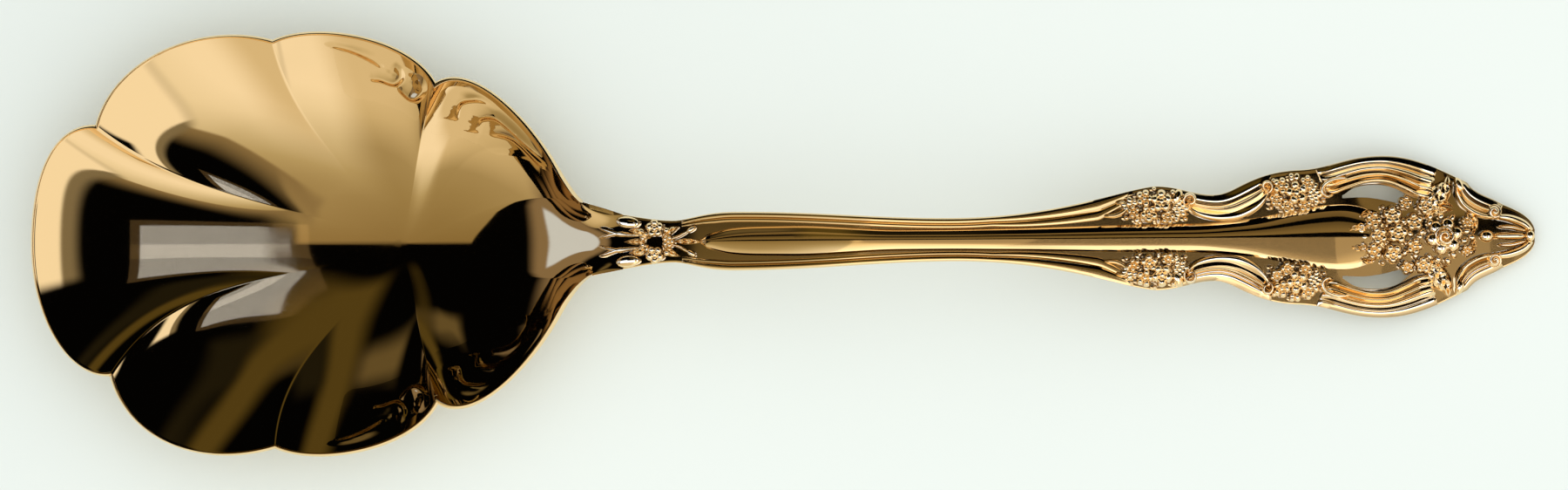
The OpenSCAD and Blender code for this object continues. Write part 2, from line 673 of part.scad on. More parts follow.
module head_spray_right() color(gold) both_ways(head_spray(), -1);

// Bouquet: a rose of two petal rings, small blossoms before it and leaves all round
rose_at = [74.4, 0];
module bouquet_rose() {
    color(gold)
    solid(blossom(on_head(rose_at.x, rose_at.y), 2.7 * fit, rose_h, 5, 0, full_flower));
}
module bouquet_blossoms() {
    spots = [
        [64.2, 2.2, 1.5], [63.9, -0.8, 1.4], [65.4, -3.4, 1.5], [67, 0.6, 1.6], [67.4, 3.6, 1.3],
        [68.6, -2.4, 1.5], [69.9, 2.2, 1.3], [70.6, -0.4, 1], [70.9, -4.3, 1.1], [71, 4.7, 1.1]
    ];
    color(gold)
    solid(merge([for (s = spots) blossom(on_head(s.x, s.y), s.z * fit, blossom_h, 5, 12 * s.x)]));
}
module bouquet_leaves() {
    front = [
        [[62.4, 0.9], [59.8, 1], 1.4], [[62.2, -1.4], [60, -1.9], 1.3],
        [[62.9, 3.7], [60.9, 3.9], 1.1], [[63.6, -4.1], [61.6, -4.3], 1.1]
    ];
    rear = [[[72.7, 3.2], [73.5, 4.7], 1.1], [[75.6, 3], [75.4, 4.8], 1], [[77.2, 1.4], [78.4, 2.3], 1]];
    function row(r) = leaf(on_head(r[0].x, r[0].y), on_head(r[1].x, r[1].y), r[2] * fit, leaf_h);
    half = [for (r = rear) row(r)];
    color(deep_gold)
    solid(merge(concat([for (r = front) row(r)], half, [for (m = half) mirrored(m)])));
}

// Ornament of the neck: a pair of blossoms with leaves towards the bowl
module neck_blossoms() {
    one = blossom(on_neck(4.4, 2), 1.3 * neck_fit, 0.8 * blossom_h, 5, 18);
    color(gold)
    solid(merge([one, mirrored(one)]));
}
module neck_leaves() {
    half = [
        leaf(on_neck(2.8, 1), on_neck(-2.6, 1.25), 1.3 * neck_fit, 0.8 * leaf_h),
        leaf(on_neck(5.9, 1.9), on_neck(9.4, 1.9), 1.2 * neck_fit, leaf_h),
        bead(on_neck(0.7, 3), 0.9 * neck_fit, 0.8 * leaf_h)
    ];
    middle = leaf(on_neck(5.8, 0), on_neck(11, 0), 1.6 * neck_fit, leaf_h);
    color(deep_gold)
    solid(merge(concat(half, [for (m = half) mirrored(m)], [middle])));
}

// Scrolls on the inside of the bowl: a strip along places given as share of a segment and of the way
// to the rim, which lie on the flat facets of the bowl
function in_wall(side, seg, at) =
    let (
        n = rim_steps[seg],
        j = min(floor(at.x * n), n - 1),
        i = max([for (k = [0:len(bowl_rings) - 2]) if (bowl_rings[k] <= at.y) k]),
        f = side > 0 ? at.x * n - j : 1 + j - at.x * n,
        g = (at.y - bowl_rings[i]) / (bowl_rings[i + 1] - bowl_rings[i]),
        near = station(side, seg, (side > 0 ? j : j + 1) / n),
        far = station(side, seg, (side > 0 ? j + 1 : j) / n),
        a = bowl_inside(bowl_rings[i], near),
        b = f > g ? bowl_inside(bowl_rings[i], far) : bowl_inside(bowl_rings[i + 1], near),
        c = bowl_inside(bowl_rings[i + 1], far)
    )
    a + max(f, g) * (b - a) + min(f, g) * (c - b);
function bowl_strip(side, seg, route, width, steps) =
    loft([
        for (i = [0:steps])
            let (
                t = i / steps,
                e = 0.5 / steps,
                at = through(route, t),
                before = through(route, max(0, t - e)),
                after = through(route, min(1, t + e)),
                c = in_wall(side, seg, at),
                n = -bowl_out(at.y, side, seg, at.x),
                along = in_wall(side, seg, after) - in_wall(side, seg, before),
                across = unit(cross(n, along)),
                k = taper(t, 0.3)
            )
            [for (s = ridge) c + across * s[0] * width * k + n * (bowl_film + s[1] * bowl_scroll_h * k)]
    ]);
function rim_scroll(side) = merge([
    bowl_strip(side, 2, [[0.3, 0.955], [0.5, 0.945], [0.7, 0.935], [0.86, 0.93]], 1.3, 10),
    bowl_strip(side, 2, [[0.6, 0.82], [0.7, 0.85], [0.82, 0.85], [0.93, 0.8]], 1.2, 9)
]);
function shoulder_scroll(side) = merge([
    bowl_strip(side, 3, [[0.14, 0.87], [0.24, 0.94], [0.42, 0.95], [0.7, 0.94], [0.9, 0.95]], 1.3, 10),
    bowl_strip(side, 3, [[0.2, 0.8], [0.34, 0.86], [0.55, 0.86], [0.8, 0.86]], 1.1, 9)
]);
module rim_scroll_left() color(gold) solid(rim_scroll(1));
module rim_scroll_right() color(gold) solid(rim_scroll(-1));
module shoulder_scroll_left() color(gold) solid(shoulder_scroll(1));
module shoulder_scroll_right() color(gold) solid(shoulder_scroll(-1));

bowl();
handle_blank();
centre_panel();
border_rail_left();
border_rail_right();
waist_scroll_left();
waist_scroll_right();
frame_scroll_left();
frame_scroll_right();
tip_scroll_left();
tip_scroll_right();
tip_finial();
stem_spray_left();
stem_spray_right();
head_spray_left();
head_spray_right();
bouquet_rose();
bouquet_blossoms();
bouquet_leaves();
neck_blossoms();
neck_leaves();
rim_scroll_left();
rim_scroll_right();
shoulder_scroll_left();
shoulder_scroll_right();
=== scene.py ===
"""Gold plated casserole spoon: scalloped bowl, arched stem and pierced head with scrolls and flowers."""
import json
import math
from types import SimpleNamespace

import bmesh
import bpy
import numpy as np
from bpy.props import FloatProperty, FloatVectorProperty, PointerProperty
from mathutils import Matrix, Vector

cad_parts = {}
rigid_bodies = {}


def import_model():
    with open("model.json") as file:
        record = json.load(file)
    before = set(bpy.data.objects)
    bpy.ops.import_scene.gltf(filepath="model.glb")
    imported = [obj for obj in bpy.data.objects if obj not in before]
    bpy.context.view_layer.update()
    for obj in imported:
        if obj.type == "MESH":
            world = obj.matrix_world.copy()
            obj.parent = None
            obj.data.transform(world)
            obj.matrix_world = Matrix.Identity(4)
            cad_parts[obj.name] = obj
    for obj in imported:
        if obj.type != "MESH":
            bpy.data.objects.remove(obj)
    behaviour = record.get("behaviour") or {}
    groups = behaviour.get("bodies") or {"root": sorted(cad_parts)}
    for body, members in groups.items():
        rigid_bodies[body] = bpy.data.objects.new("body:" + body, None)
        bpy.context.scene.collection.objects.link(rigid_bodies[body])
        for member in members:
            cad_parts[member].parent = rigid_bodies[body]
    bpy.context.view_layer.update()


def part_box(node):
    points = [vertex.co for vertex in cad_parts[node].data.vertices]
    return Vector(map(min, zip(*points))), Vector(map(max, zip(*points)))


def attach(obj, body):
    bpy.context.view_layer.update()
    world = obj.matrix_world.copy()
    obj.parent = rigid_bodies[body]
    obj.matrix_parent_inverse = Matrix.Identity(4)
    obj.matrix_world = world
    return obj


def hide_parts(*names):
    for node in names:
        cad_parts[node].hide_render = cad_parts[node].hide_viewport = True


bl_info = {
    "name": "Casserole Spoon",
    "version": (1, 0, 0),
    "blender": (4, 5, 0),
    "location": "View3D > Sidebar > Spoon",
    "description": "Builds a gold plated casserole spoon with a scalloped bowl and a pierced handle",
    "category": "Add Mesh",
}

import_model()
BOWL_LOW, BOWL_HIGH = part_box("bowl")
BLANK_LOW, BLANK_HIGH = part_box("handle_blank")
MM = 0.001
PLATING = {part + "_gold": part + "_plating" for part in ("bowl", "handle", "ornament")}


def length(name, description, default):
    """A size in metres, as the sidebar shows it."""
    return FloatProperty(name=name, description=description, default=default, unit="LENGTH", precision=5)


def colour(name, description, default):
    return FloatVectorProperty(
        name=name, description=description, default=default, subtype="COLOR", size=3, min=0, max=4
    )


class SpoonSizes(bpy.types.PropertyGroup):
    """Sizes of the bowl, the stem and the head."""

    bowl_length: length("Bowl length", "From the tip to the neck joint", BOWL_HIGH.x - BOWL_LOW.x)
    bowl_width: length("Bowl width", "Across the widest lobes", BOWL_HIGH.y - BOWL_LOW.y)
    rim_height: length("Rim height", "Rim above the table", 0.0125)
    wall: length("Wall", "Thickness of the bowl", 0.0015)
    rim_edge: length("Rim edge", "Thickness of the bowl at its rim", 0.0008)
    flute_depth: length("Flute depth", "How far the flutes sink below the ribs", 0.0009)
    rib_bend: length("Rib bend", "How far the ribs bend sideways", 0.0043)
    notch_skew: length("Notch skew", "How far one front notch lies behind the other", 0.002)
    rest_flat: length("Rest flat", "Depth of the flat under the bowl", 0.00012)
    joint_width: length("Joint width", "Width at the neck joint", 0.0082)
    neck_width: length("Neck width", "Width of the slim neck", 0.0063)
    swell_width: length("Swell width", "Width where the stem swells", 0.0088)
    stem_width: length("Stem width", "Width of the slimmest stem", 0.0065)
    stem_length: length("Stem length", "From the neck joint to the slimmest part", 0.0494)
    neck_thickness: length("Neck thickness", "Thickness at the neck joint", 0.003)
    stem_thickness: length("Stem thickness", "Thickness of the stem", 0.0022)
    neck_height: length("Neck height", "Neck joint above the table", 0.0135)
    crown_height: length("Crown height", "Top of the handle's arch", 0.0185)
    crown_distance: length("Crown distance", "From the neck joint to the top of the arch", 0.032)
    head_width: length("Head width", "Across the widest part of the head", BLANK_HIGH.y - BLANK_LOW.y)
    head_thickness: length("Head thickness", "Thickness of the head", 0.0018)
    dome_height: length("Dome height", "Height of the dome under the bouquet", 0.0007)
    neck_slope: FloatProperty(name="Neck slope", description="Slope of the handle at the joint", default=0.32)


class SpoonFinish(bpy.types.PropertyGroup):
    """Colour of the plating, the shade painted into its recesses and its polish."""

    gold: colour("Gold", "Colour of the polished plating", (0.93, 0.70, 0.39))
    # Painted shade: a dark brown that the shader mixes into the gold in hollows and grooves, where shade
    # falls
    deep_gold: colour("Deep gold", "Colour of the plating in recesses", (0.20, 0.135, 0.075))
    polish: FloatProperty(
        name="Polish", description="Roughness of the polished bowl", default=0.03, min=0, max=1
    )


class SpoonStudio(bpy.types.PropertyGroup):
    """Table and camera."""

    table: colour("Table", "Colour of the table top", (0.80, 0.845, 0.805))
    view_height: length("View height", "Camera above the table", 0.9)
    view_width: length("View width", "Width of the table that the camera sees", 0.2394)


def in_mm(sizes):
    """The lengths among the sizes, in millimetres."""
    keys = [key for key in SpoonSizes.__annotations__ if key != "neck_slope"]
    return SimpleNamespace(**{key: getattr(sizes, key) / MM for key in keys})


# Curves and blends, on arrays

def mix(a, b, t):
    return a + (b - a) * t


def smooth(t):
    c = np.clip(t, 0, 1)
    return c * c * (3 - 2 * c)


def unit(vectors):
    return vectors / np.linalg.norm(vectors, axis=-1, keepdims=True)


def polar(centre, reach, angle):
    """Plan points at a distance and an angle from a centre."""
    return np.stack([centre[0] + reach * np.cos(angle), centre[1] + reach * np.sin(angle)], -1)


def arcs(points):
    """Splits a chain of curves, each a knot, two handles and the next curve's knot."""
    return [points[k:k + 4] for k in range(0, len(points) - 1, 3)]


def bezier(points, t):
    t = np.asarray(t, float)[..., None]
    a, b, c, d = np.asarray(points, float)
    return (1 - t) ** 3 * a + 3 * t * (1 - t) ** 2 * b + 3 * t * t * (1 - t) * c + t ** 3 * d


def spline(points, count):
    """Evenly spaced points on a smooth curve through a few points."""
    p = np.asarray(points, float)
    ends = np.vstack([2 * p[0] - p[1], p, 2 * p[-1] - p[-2]])
    t = np.linspace(0, 1, 24, endpoint=False)[:, None]
    spans = [
        0.5 * (2 * b + (c - a) * t + (2 * a - 5 * b + 4 * c - d) * t ** 2 + (3 * b - a - 3 * c + d) * t ** 3)
        for a, b, c, d in zip(ends, ends[1:], ends[2:], ends[3:])
    ]
    fine = np.vstack(spans + [p[-1:]])
    run = np.concatenate([[0], np.cumsum(np.linalg.norm(np.diff(fine, axis=0), axis=1))])
    at = np.linspace(0, run[-1], count)
    return np.stack([np.interp(at, run, axis) for axis in fine.T], 1)


def across_of(route):
    """Unit vectors to the left of a plan route."""
    along = unit(np.gradient(route, axis=0))
    return np.stack([-along[:, 1], along[:, 0]], 1)


class BowlShape:
    """Surfaces of the bowl, in millimetres."""

    # Notches in one half of the rim, as shares of the bowl's length and half width
    FRONT, SIDE, REAR, SHOULDER = (0.122, 0.583), (0.409, 0.961), (0.682, 0.736), (0.887, 0.337)
    # Flutes of the six segments of that half: depth, start, share left at the rim and sharpness of the ribs
    FLUTES = (1, 1, 0.5, 0.2, 0, 0)
    FLUTE_FROM = (0.32, 0.32, 0.4, 0.6, 0.6, 0.6)
    FLUTE_RIM = (1, 0.45, 1, 1, 1, 1)
    RIB_POWERS = (4, 2.8, 2, 2, 2, 2)
    FLUTE_FULL, SOFT_POWER, RIB_LEAN = 0.85, 1.25, 0.35
    BEND_PEAK = 4 / 27 * 2 / (3 * math.sqrt(3))
    # Shares of the length where the hub lies, the neck starts and the dish turns into a trough
    HUB, NECK_FROM, TROUGH_FROM, TROUGH_RUN = 0.62, 0.8, 0.7, 0.24
    DISH, NECK_MIDDLE, TROUGH_POWER, EDGE_RISE = 0.62, 0.22, 2.2, 0.45

    def __init__(self, sizes):
        mm = in_mm(sizes)
        self.tip, self.neck = BOWL_LOW.x / MM, BOWL_HIGH.x / MM
        self.length, self.half = mm.bowl_length, mm.bowl_width / 2
        self.rim_h, self.neck_h, self.neck_t = mm.rim_height, mm.neck_height, mm.neck_thickness
        self.wall, self.rim_edge = mm.wall, mm.rim_edge
        self.flute, self.skew = mm.flute_depth, mm.notch_skew
        self.bend = mm.rib_bend / self.BEND_PEAK
        self.joint = np.array([self.neck, mm.joint_width / 2])
        self.hub = np.array([self.tip + self.HUB * self.length, 0.0])
        self.floor = self.wall - mm.rest_flat
        climb = (self.rim_h - self.floor) * (4 - 2 * self.DISH)
        self.tip_run, self.side_run = (
            self.rim_edge * math.sin(math.atan(climb / run)) for run in (self.hub[0] - self.tip, self.half)
        )
        end = sizes.neck_slope * (self.neck - self.hub[0]) / (self.neck_h - self.floor)
        self.six = (self.NECK_MIDDLE - (4 - end) / 8 - (end - 2) / 32) * 64 / 9
        self.four = (end - 2) / 2 - 2 * self.six
        self.rims = {side: self.rim_segments(side) for side in (1, -1)}
        self.ovals = {side: self.oval_segments(side) for side in (1, -1)}
        rear = [bezier(self.rims[1][k], np.linspace(0, 1, 60)) for k in (3, 4)]
        self.rear_line = np.vstack([rear[0], rear[1][1:]])

    def place(self, share, shift=(0, 0)):
        """A plan point from its shares of the bowl's length and half width."""
        return np.array([
            self.tip + self.tip_run + (share[0] + shift[0]) * (self.length - self.tip_run),
            (share[1] + shift[1]) * (self.half - self.side_run),
        ])

    def rim_segments(self, side):
        """One half of the rim, from the tip to the middle of the neck joint."""
        s = (-side * 0.5 * self.skew / self.length, -side * 0.43 * self.skew / self.half)
        at = self.place
        middle = np.array([self.neck, 0.0])
        return arcs([
            at((0, 0)), at((0, 0.365)), at((0.054, 0.615), s),
            at(self.FRONT, s), at((0.147, 0.918), s), at((0.289, 1.066)),
            at(self.SIDE), at((0.478, 1.06)), at((0.65, 0.977)),
            at(self.REAR), at((0.733, 0.876)), at((0.829, 0.626)),
            at(self.SHOULDER), at((0.922, 0.175)), self.joint - [0.049 * self.length, 0.016 * self.half],
            self.joint, mix(self.joint, middle, 1 / 3), mix(self.joint, middle, 2 / 3), middle,
        ])

    def oval_segments(self, side):
        """The same half without its lobes or neck."""
        rim = self.rims[side]
        knots = [
            self.place((0.022, 0)), rim[0][3], rim[1][3], rim[2][3],
            self.place((0.87, 0.53)), self.place((0.975, 0.24)), np.array([self.neck, 0.0]),
        ]
        pulls = [np.array([0, 0.62 * self.half])]
        pulls += [(knots[i + 1] - knots[i - 1]) / 2 for i in range(1, 6)]
        pulls += [np.array([0, -0.24 * self.half])]
        return [
            [knots[i], knots[i] + pulls[i] / 3, knots[i + 1] - pulls[i + 1] / 3, knots[i + 1]]
            for i in range(6)
        ]

    def neck_share(self, x):
        start = self.tip + self.NECK_FROM * self.length
        return smooth((x - start) / (self.neck - start))

    def stations(self, side, segment, t):
        """Places along one segment of the rim."""
        t = np.asarray(t, float)
        rim = bezier(self.rims[side][segment], t)
        oval = bezier(self.ovals[side][segment], t)
        off = t if segment == 0 else 2 * t - 1
        sharp = 1 - np.abs(off) ** self.RIB_POWERS[segment]
        round_top = (1 - off ** 2) ** self.SOFT_POWER
        wave = mix(sharp, round_top, (0, smooth((off + 1) / 2), 1, 1, 1, 1)[segment])
        return {
            "rim": rim * [1, side],
            "oval": oval * [1, side],
            "sink": self.FLUTES[segment] * wave,
            "start": np.full(t.shape, self.FLUTE_FROM[segment]),
            "left": np.full(t.shape, self.FLUTE_RIM[segment], float),
            "rim_neck": self.neck_share(rim[:, 0]),
            "oval_neck": self.neck_share(oval[:, 0]),
        }

    def all_round(self, steps):
        """Places round the whole rim, with the steps of each segment of one half."""
        parts = [self.stations(1, k, np.arange(n) / n) for k, n in enumerate(steps)]
        for k, n in reversed(list(enumerate(steps))):
            parts.append(self.stations(-1, k, 1 - np.arange(n) / n))
        return {key: np.concatenate([p[key] for p in parts]) for key in parts[0]}

    def neck_rise(self, u):
        return (1 - self.four - self.six) * u ** 2 + self.four * u ** 4 + self.six * u ** 6

    def on_axis(self, x):
        return mix(self.floor, self.neck_h, self.neck_rise((x - self.hub[0]) / (self.neck - self.hub[0])))

    def trough(self, x, y):
        half = np.interp(x, self.rear_line[:, 0], self.rear_line[:, 1])
        rim = mix(self.rim_h, self.neck_h, self.neck_share(x))
        return mix(self.on_axis(x), rim, np.minimum(1, np.abs(y) / half) ** self.TROUGH_POWER)

    def height(self, u, st, plan):
        x, y = plan[..., 0], plan[..., 1]
        dish = self.DISH * u ** 2 + (1 - self.DISH) * u ** 4
        rise = mix(dish, self.neck_rise(u), st["oval_neck"])
        dished = mix(self.floor, mix(self.rim_h, self.neck_h, st["rim_neck"]), rise)
        share = smooth((x - self.tip - self.TROUGH_FROM * self.length) / (self.TROUGH_RUN * self.length))
        return mix(dished, self.trough(x, y), share)

    def inside(self, u, st):
        """Inside of the bowl at shares u, a column, of the way from the hub to the rim."""
        end = mix(st["oval"], st["rim"], (u ** 2)[..., None])
        ray = unit(end - self.hub)
        x, y = ray[..., :1], ray[..., 1:]
        bent = self.bend * y * x ** 2 * (1 + self.RIB_LEAN * np.sign(y) * x) * np.concatenate([-y, x], -1)
        w = u[..., None]
        plan = mix(self.hub, end, w) + bent * w ** 2 * (1 - w)
        sunk = self.flute * st["sink"] * smooth((u - st["start"]) / (self.FLUTE_FULL - st["start"]))
        sunk = sunk * mix(1, st["left"], smooth((u - 0.7) / 0.3))
        return np.concatenate([plan, (self.height(u, st, plan) - sunk)[..., None]], -1)


class HandleShape:
    """Spine and outline of the handle, in millimetres."""

    # Lengths and half width of the drawing that the places on the stem and the head are taken from
    DRAWN_STEM, DRAWN_HEAD, DRAWN_HALF = 50, 88, 12.3
    # Runs over which the plate thins, and the dome's start, rise, end, fall and half width, all as drawn
    NECK_RUN, HEAD_RUN = 20, 44
    DOME_FROM, DOME_RISE, DOME_TO, DOME_FALL, DOME_HALF = 57, 8, 87, 7, 9.5

    def __init__(self, sizes, bowl):
        mm = in_mm(sizes)
        self.bowl = bowl
        self.neck, self.end = BLANK_LOW.x / MM, BLANK_HIGH.x / MM
        self.slim = self.neck + mm.stem_length
        self.crown = self.neck + mm.crown_distance
        self.neck_h, self.crown_h, self.dome_h = mm.neck_height, mm.crown_height, mm.dome_height
        self.neck_t, self.stem_t, self.head_t = mm.neck_thickness, mm.stem_thickness, mm.head_thickness
        self.slope = sizes.neck_slope
        self.kn = mm.stem_length / self.DRAWN_STEM
        self.kx = (self.end - self.slim) / self.DRAWN_HEAD
        self.ky = mm.head_width / 2 / self.DRAWN_HALF
        joint, neck, swell, stem = (
            width / 2 for width in (mm.joint_width, mm.neck_width, mm.swell_width, mm.stem_width)
        )
        n, h = self.on_neck, self.on_head
        last = h(88, 1)
        chain = arcs([
            n(0, joint), n(2, 0.926 * joint), n(5, neck), n(7.7, neck), n(10, neck), n(12, swell),
            n(17, swell), n(30, swell), n(38, stem), (self.slim, stem), (h(16, 0)[0], stem), h(25.5, 7.5),
            h(30.5, 7.85), h(34, 7.85), h(36, 6.5), h(39.3, 6.5), h(42.5, 6.5), h(44.5, 9.8),
            h(52, 10.2), h(57, 10.3), h(59, 12.3), h(65, 12.3), h(69.5, 12.3), h(73, 10.6),
            h(77.8, 8.2), h(79.2, 6.2), h(81, 6.2), h(83, 4.9), h(85.5, 3.9), h(87.6, 2.9), last,
        ])
        t = np.linspace(0, 1, 40, endpoint=False)
        self.outline = np.vstack([bezier(arc, t) for arc in chain] + [[last]])

    def on_neck(self, s, y):
        return self.neck + s * self.kn, y

    def on_head(self, a, b):
        return self.slim + a * self.kx, b * self.ky

    def head(self, points):
        """Plan points from places drawn on the head."""
        return [self.on_head(a, b) for a, b in points]

    def stem(self, points):
        """Plan points from places drawn on the neck and stem."""
        return [self.on_neck(s, b) for s, b in points]

    def edge(self, x):
        return np.interp(x, self.outline[:, 0], self.outline[:, 1])

    def spine(self, x):
        def arch(x0, z0, slope0, x1, z1, slope1):
            t = np.clip((x - x0) / (x1 - x0), 0, 1)
            bow = (x1 - x0) * (slope0 * t * (1 - t) ** 2 - slope1 * t * t * (1 - t))
            return mix(z0, z1, t * t * (3 - 2 * t)) + bow

        front = arch(self.neck, self.neck_h, self.slope, self.crown, self.crown_h, 0)
        rear = arch(self.crown, self.crown_h, 0, self.end, self.head_t, 0)
        return np.where(x < self.crown, front, rear)

    def thickness(self, x):
        stem = mix(self.neck_t, self.stem_t, smooth((x - self.neck) / (self.NECK_RUN * self.kn)))
        head = mix(self.stem_t, self.head_t, smooth((x - self.slim) / (self.HEAD_RUN * self.kx)))
        return np.where(x < self.slim, stem, head)

    def ground(self, x, y):
        """Height of the ground that the ornament stands on: the spine, domed under the bouquet."""
        a = (x - self.slim) / self.kx
        along = smooth((a - self.DOME_FROM) / self.DOME_RISE) * smooth((self.DOME_TO - a) / self.DOME_FALL)
        return self.spine(x) + self.dome_h * along * np.maximum(0, 1 - (y / self.DOME_HALF) ** 2)

    def seat(self, plan, rise):
        """Points that stand above the blank, or above the bowl before the joint."""
        plan = np.asarray(plan, float)
        x, y = plan[..., 0], plan[..., 1]
        carrier = np.where(x < self.neck, self.bowl.trough(np.minimum(x, self.neck), y), self.ground(x, y))
        return np.stack([x, y, carrier + rise], -1)


class Skin:
    """Gathers the faces of one piece, with a share of relief at each point: 0 in a hollow, 1 on a ridge. The
    plating's shader paints shade where the share is low.
    """

    def __init__(self):
        self.points = []
        self.relief = []
        self.faces = []
        self.count = 0

    def add(self, points, relief, faces):
        points = np.asarray(points, float).reshape(-1, 3)
        self.points.append(points)
        self.relief.append(np.broadcast_to(np.asarray(relief, float).ravel(), (len(points),)))
        self.faces += [[k + self.count for k in face] for face in faces]
        self.count += len(points)

    def tube(self, rings, relief=1.0, strips=False):
        """A closed skin over rings of equal count, with a fan or a strip of quads over either end."""
        rings = np.asarray(rings, float)
        n, m = rings.shape[:2]
        points, shares = rings.reshape(-1, 3), np.broadcast_to(relief, (n, m)).ravel()
        i, j = np.meshgrid(np.arange(n - 1), np.arange(m), indexing="ij")
        k = (j + 1) % m
        walls = np.stack([i * m + j, i * m + k, (i + 1) * m + k, (i + 1) * m + j], -1).reshape(-1, 4).tolist()
        if strips:
            first = [[a + 1, a, m - 1 - a, m - 2 - a] for a in range(m // 2 - 1)]
            last = [[(n - 1) * m + a for a in face[::-1]] for face in first]
        else:
            points = np.vstack([points, rings[0].mean(0), rings[-1].mean(0)])
            shares = np.append(shares, [shares[:m].mean(), shares[-m:].mean()])
            first = [[n * m, (a + 1) % m, a] for a in range(m)]
            last = [[n * m + 1, (n - 1) * m + a, (n - 1) * m + (a + 1) % m] for a in range(m)]
        self.add(points, shares, walls + first + last)

    def mirrored(self):
        """The same skin on the other side of the spoon."""
        other = Skin()
        other.points = [p * [1, -1, 1] for p in self.points]
        other.relief = list(self.relief)
        other.faces = [face[::-1] for face in self.faces]
        other.count = self.count
        return other

    def piece(self, name, slot, *nodes, sharp=50, finish=None):
        """Makes the object, which stands for CAD nodes and rides on the spoon."""
        mesh = bpy.data.meshes.new(name)
        mesh.from_pydata((np.vstack(self.points) * MM).tolist(), [], self.faces)
        share = mesh.attributes.new("relief", "FLOAT", "POINT")
        share.data.foreach_set("value", np.concatenate(self.relief).astype(np.float32))
        shell = bmesh.new()
        shell.from_mesh(mesh)
        bmesh.ops.recalc_face_normals(shell, faces=shell.faces)
        shell.to_mesh(mesh)
        shell.free()
        mesh.polygons.foreach_set("use_smooth", [True] * len(mesh.polygons))
        mesh.set_sharp_from_angle(angle=math.radians(sharp))
        mesh.materials.append(bpy.data.materials[PLATING[finish or slot]])
        piece = bpy.data.objects.new(name, mesh)
        bpy.context.scene.collection.objects.link(piece)
        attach(piece, "root")
        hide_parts(*nodes)


# Ornament

def tubes(*spans, low=0.3, steps=10, lean=1.0):
    """Offsets and heights across a band of rounded tubes, each a start, an end and a height.

    A lean above 1 moves each crest towards the far side of its tube.
    """
    s, height = [0.0], [0.0]
    t = np.linspace(0.02, 0.98, steps)
    for start, end, rise in spans:
        s += list(mix(start, end, t))
        height += list(mix(low * rise, rise, np.sin(np.pi * t ** lean) ** 0.6))
    return np.array(s + [1.0]), np.array(height + [0.0])


ROUND = tubes((0, 1, 1))


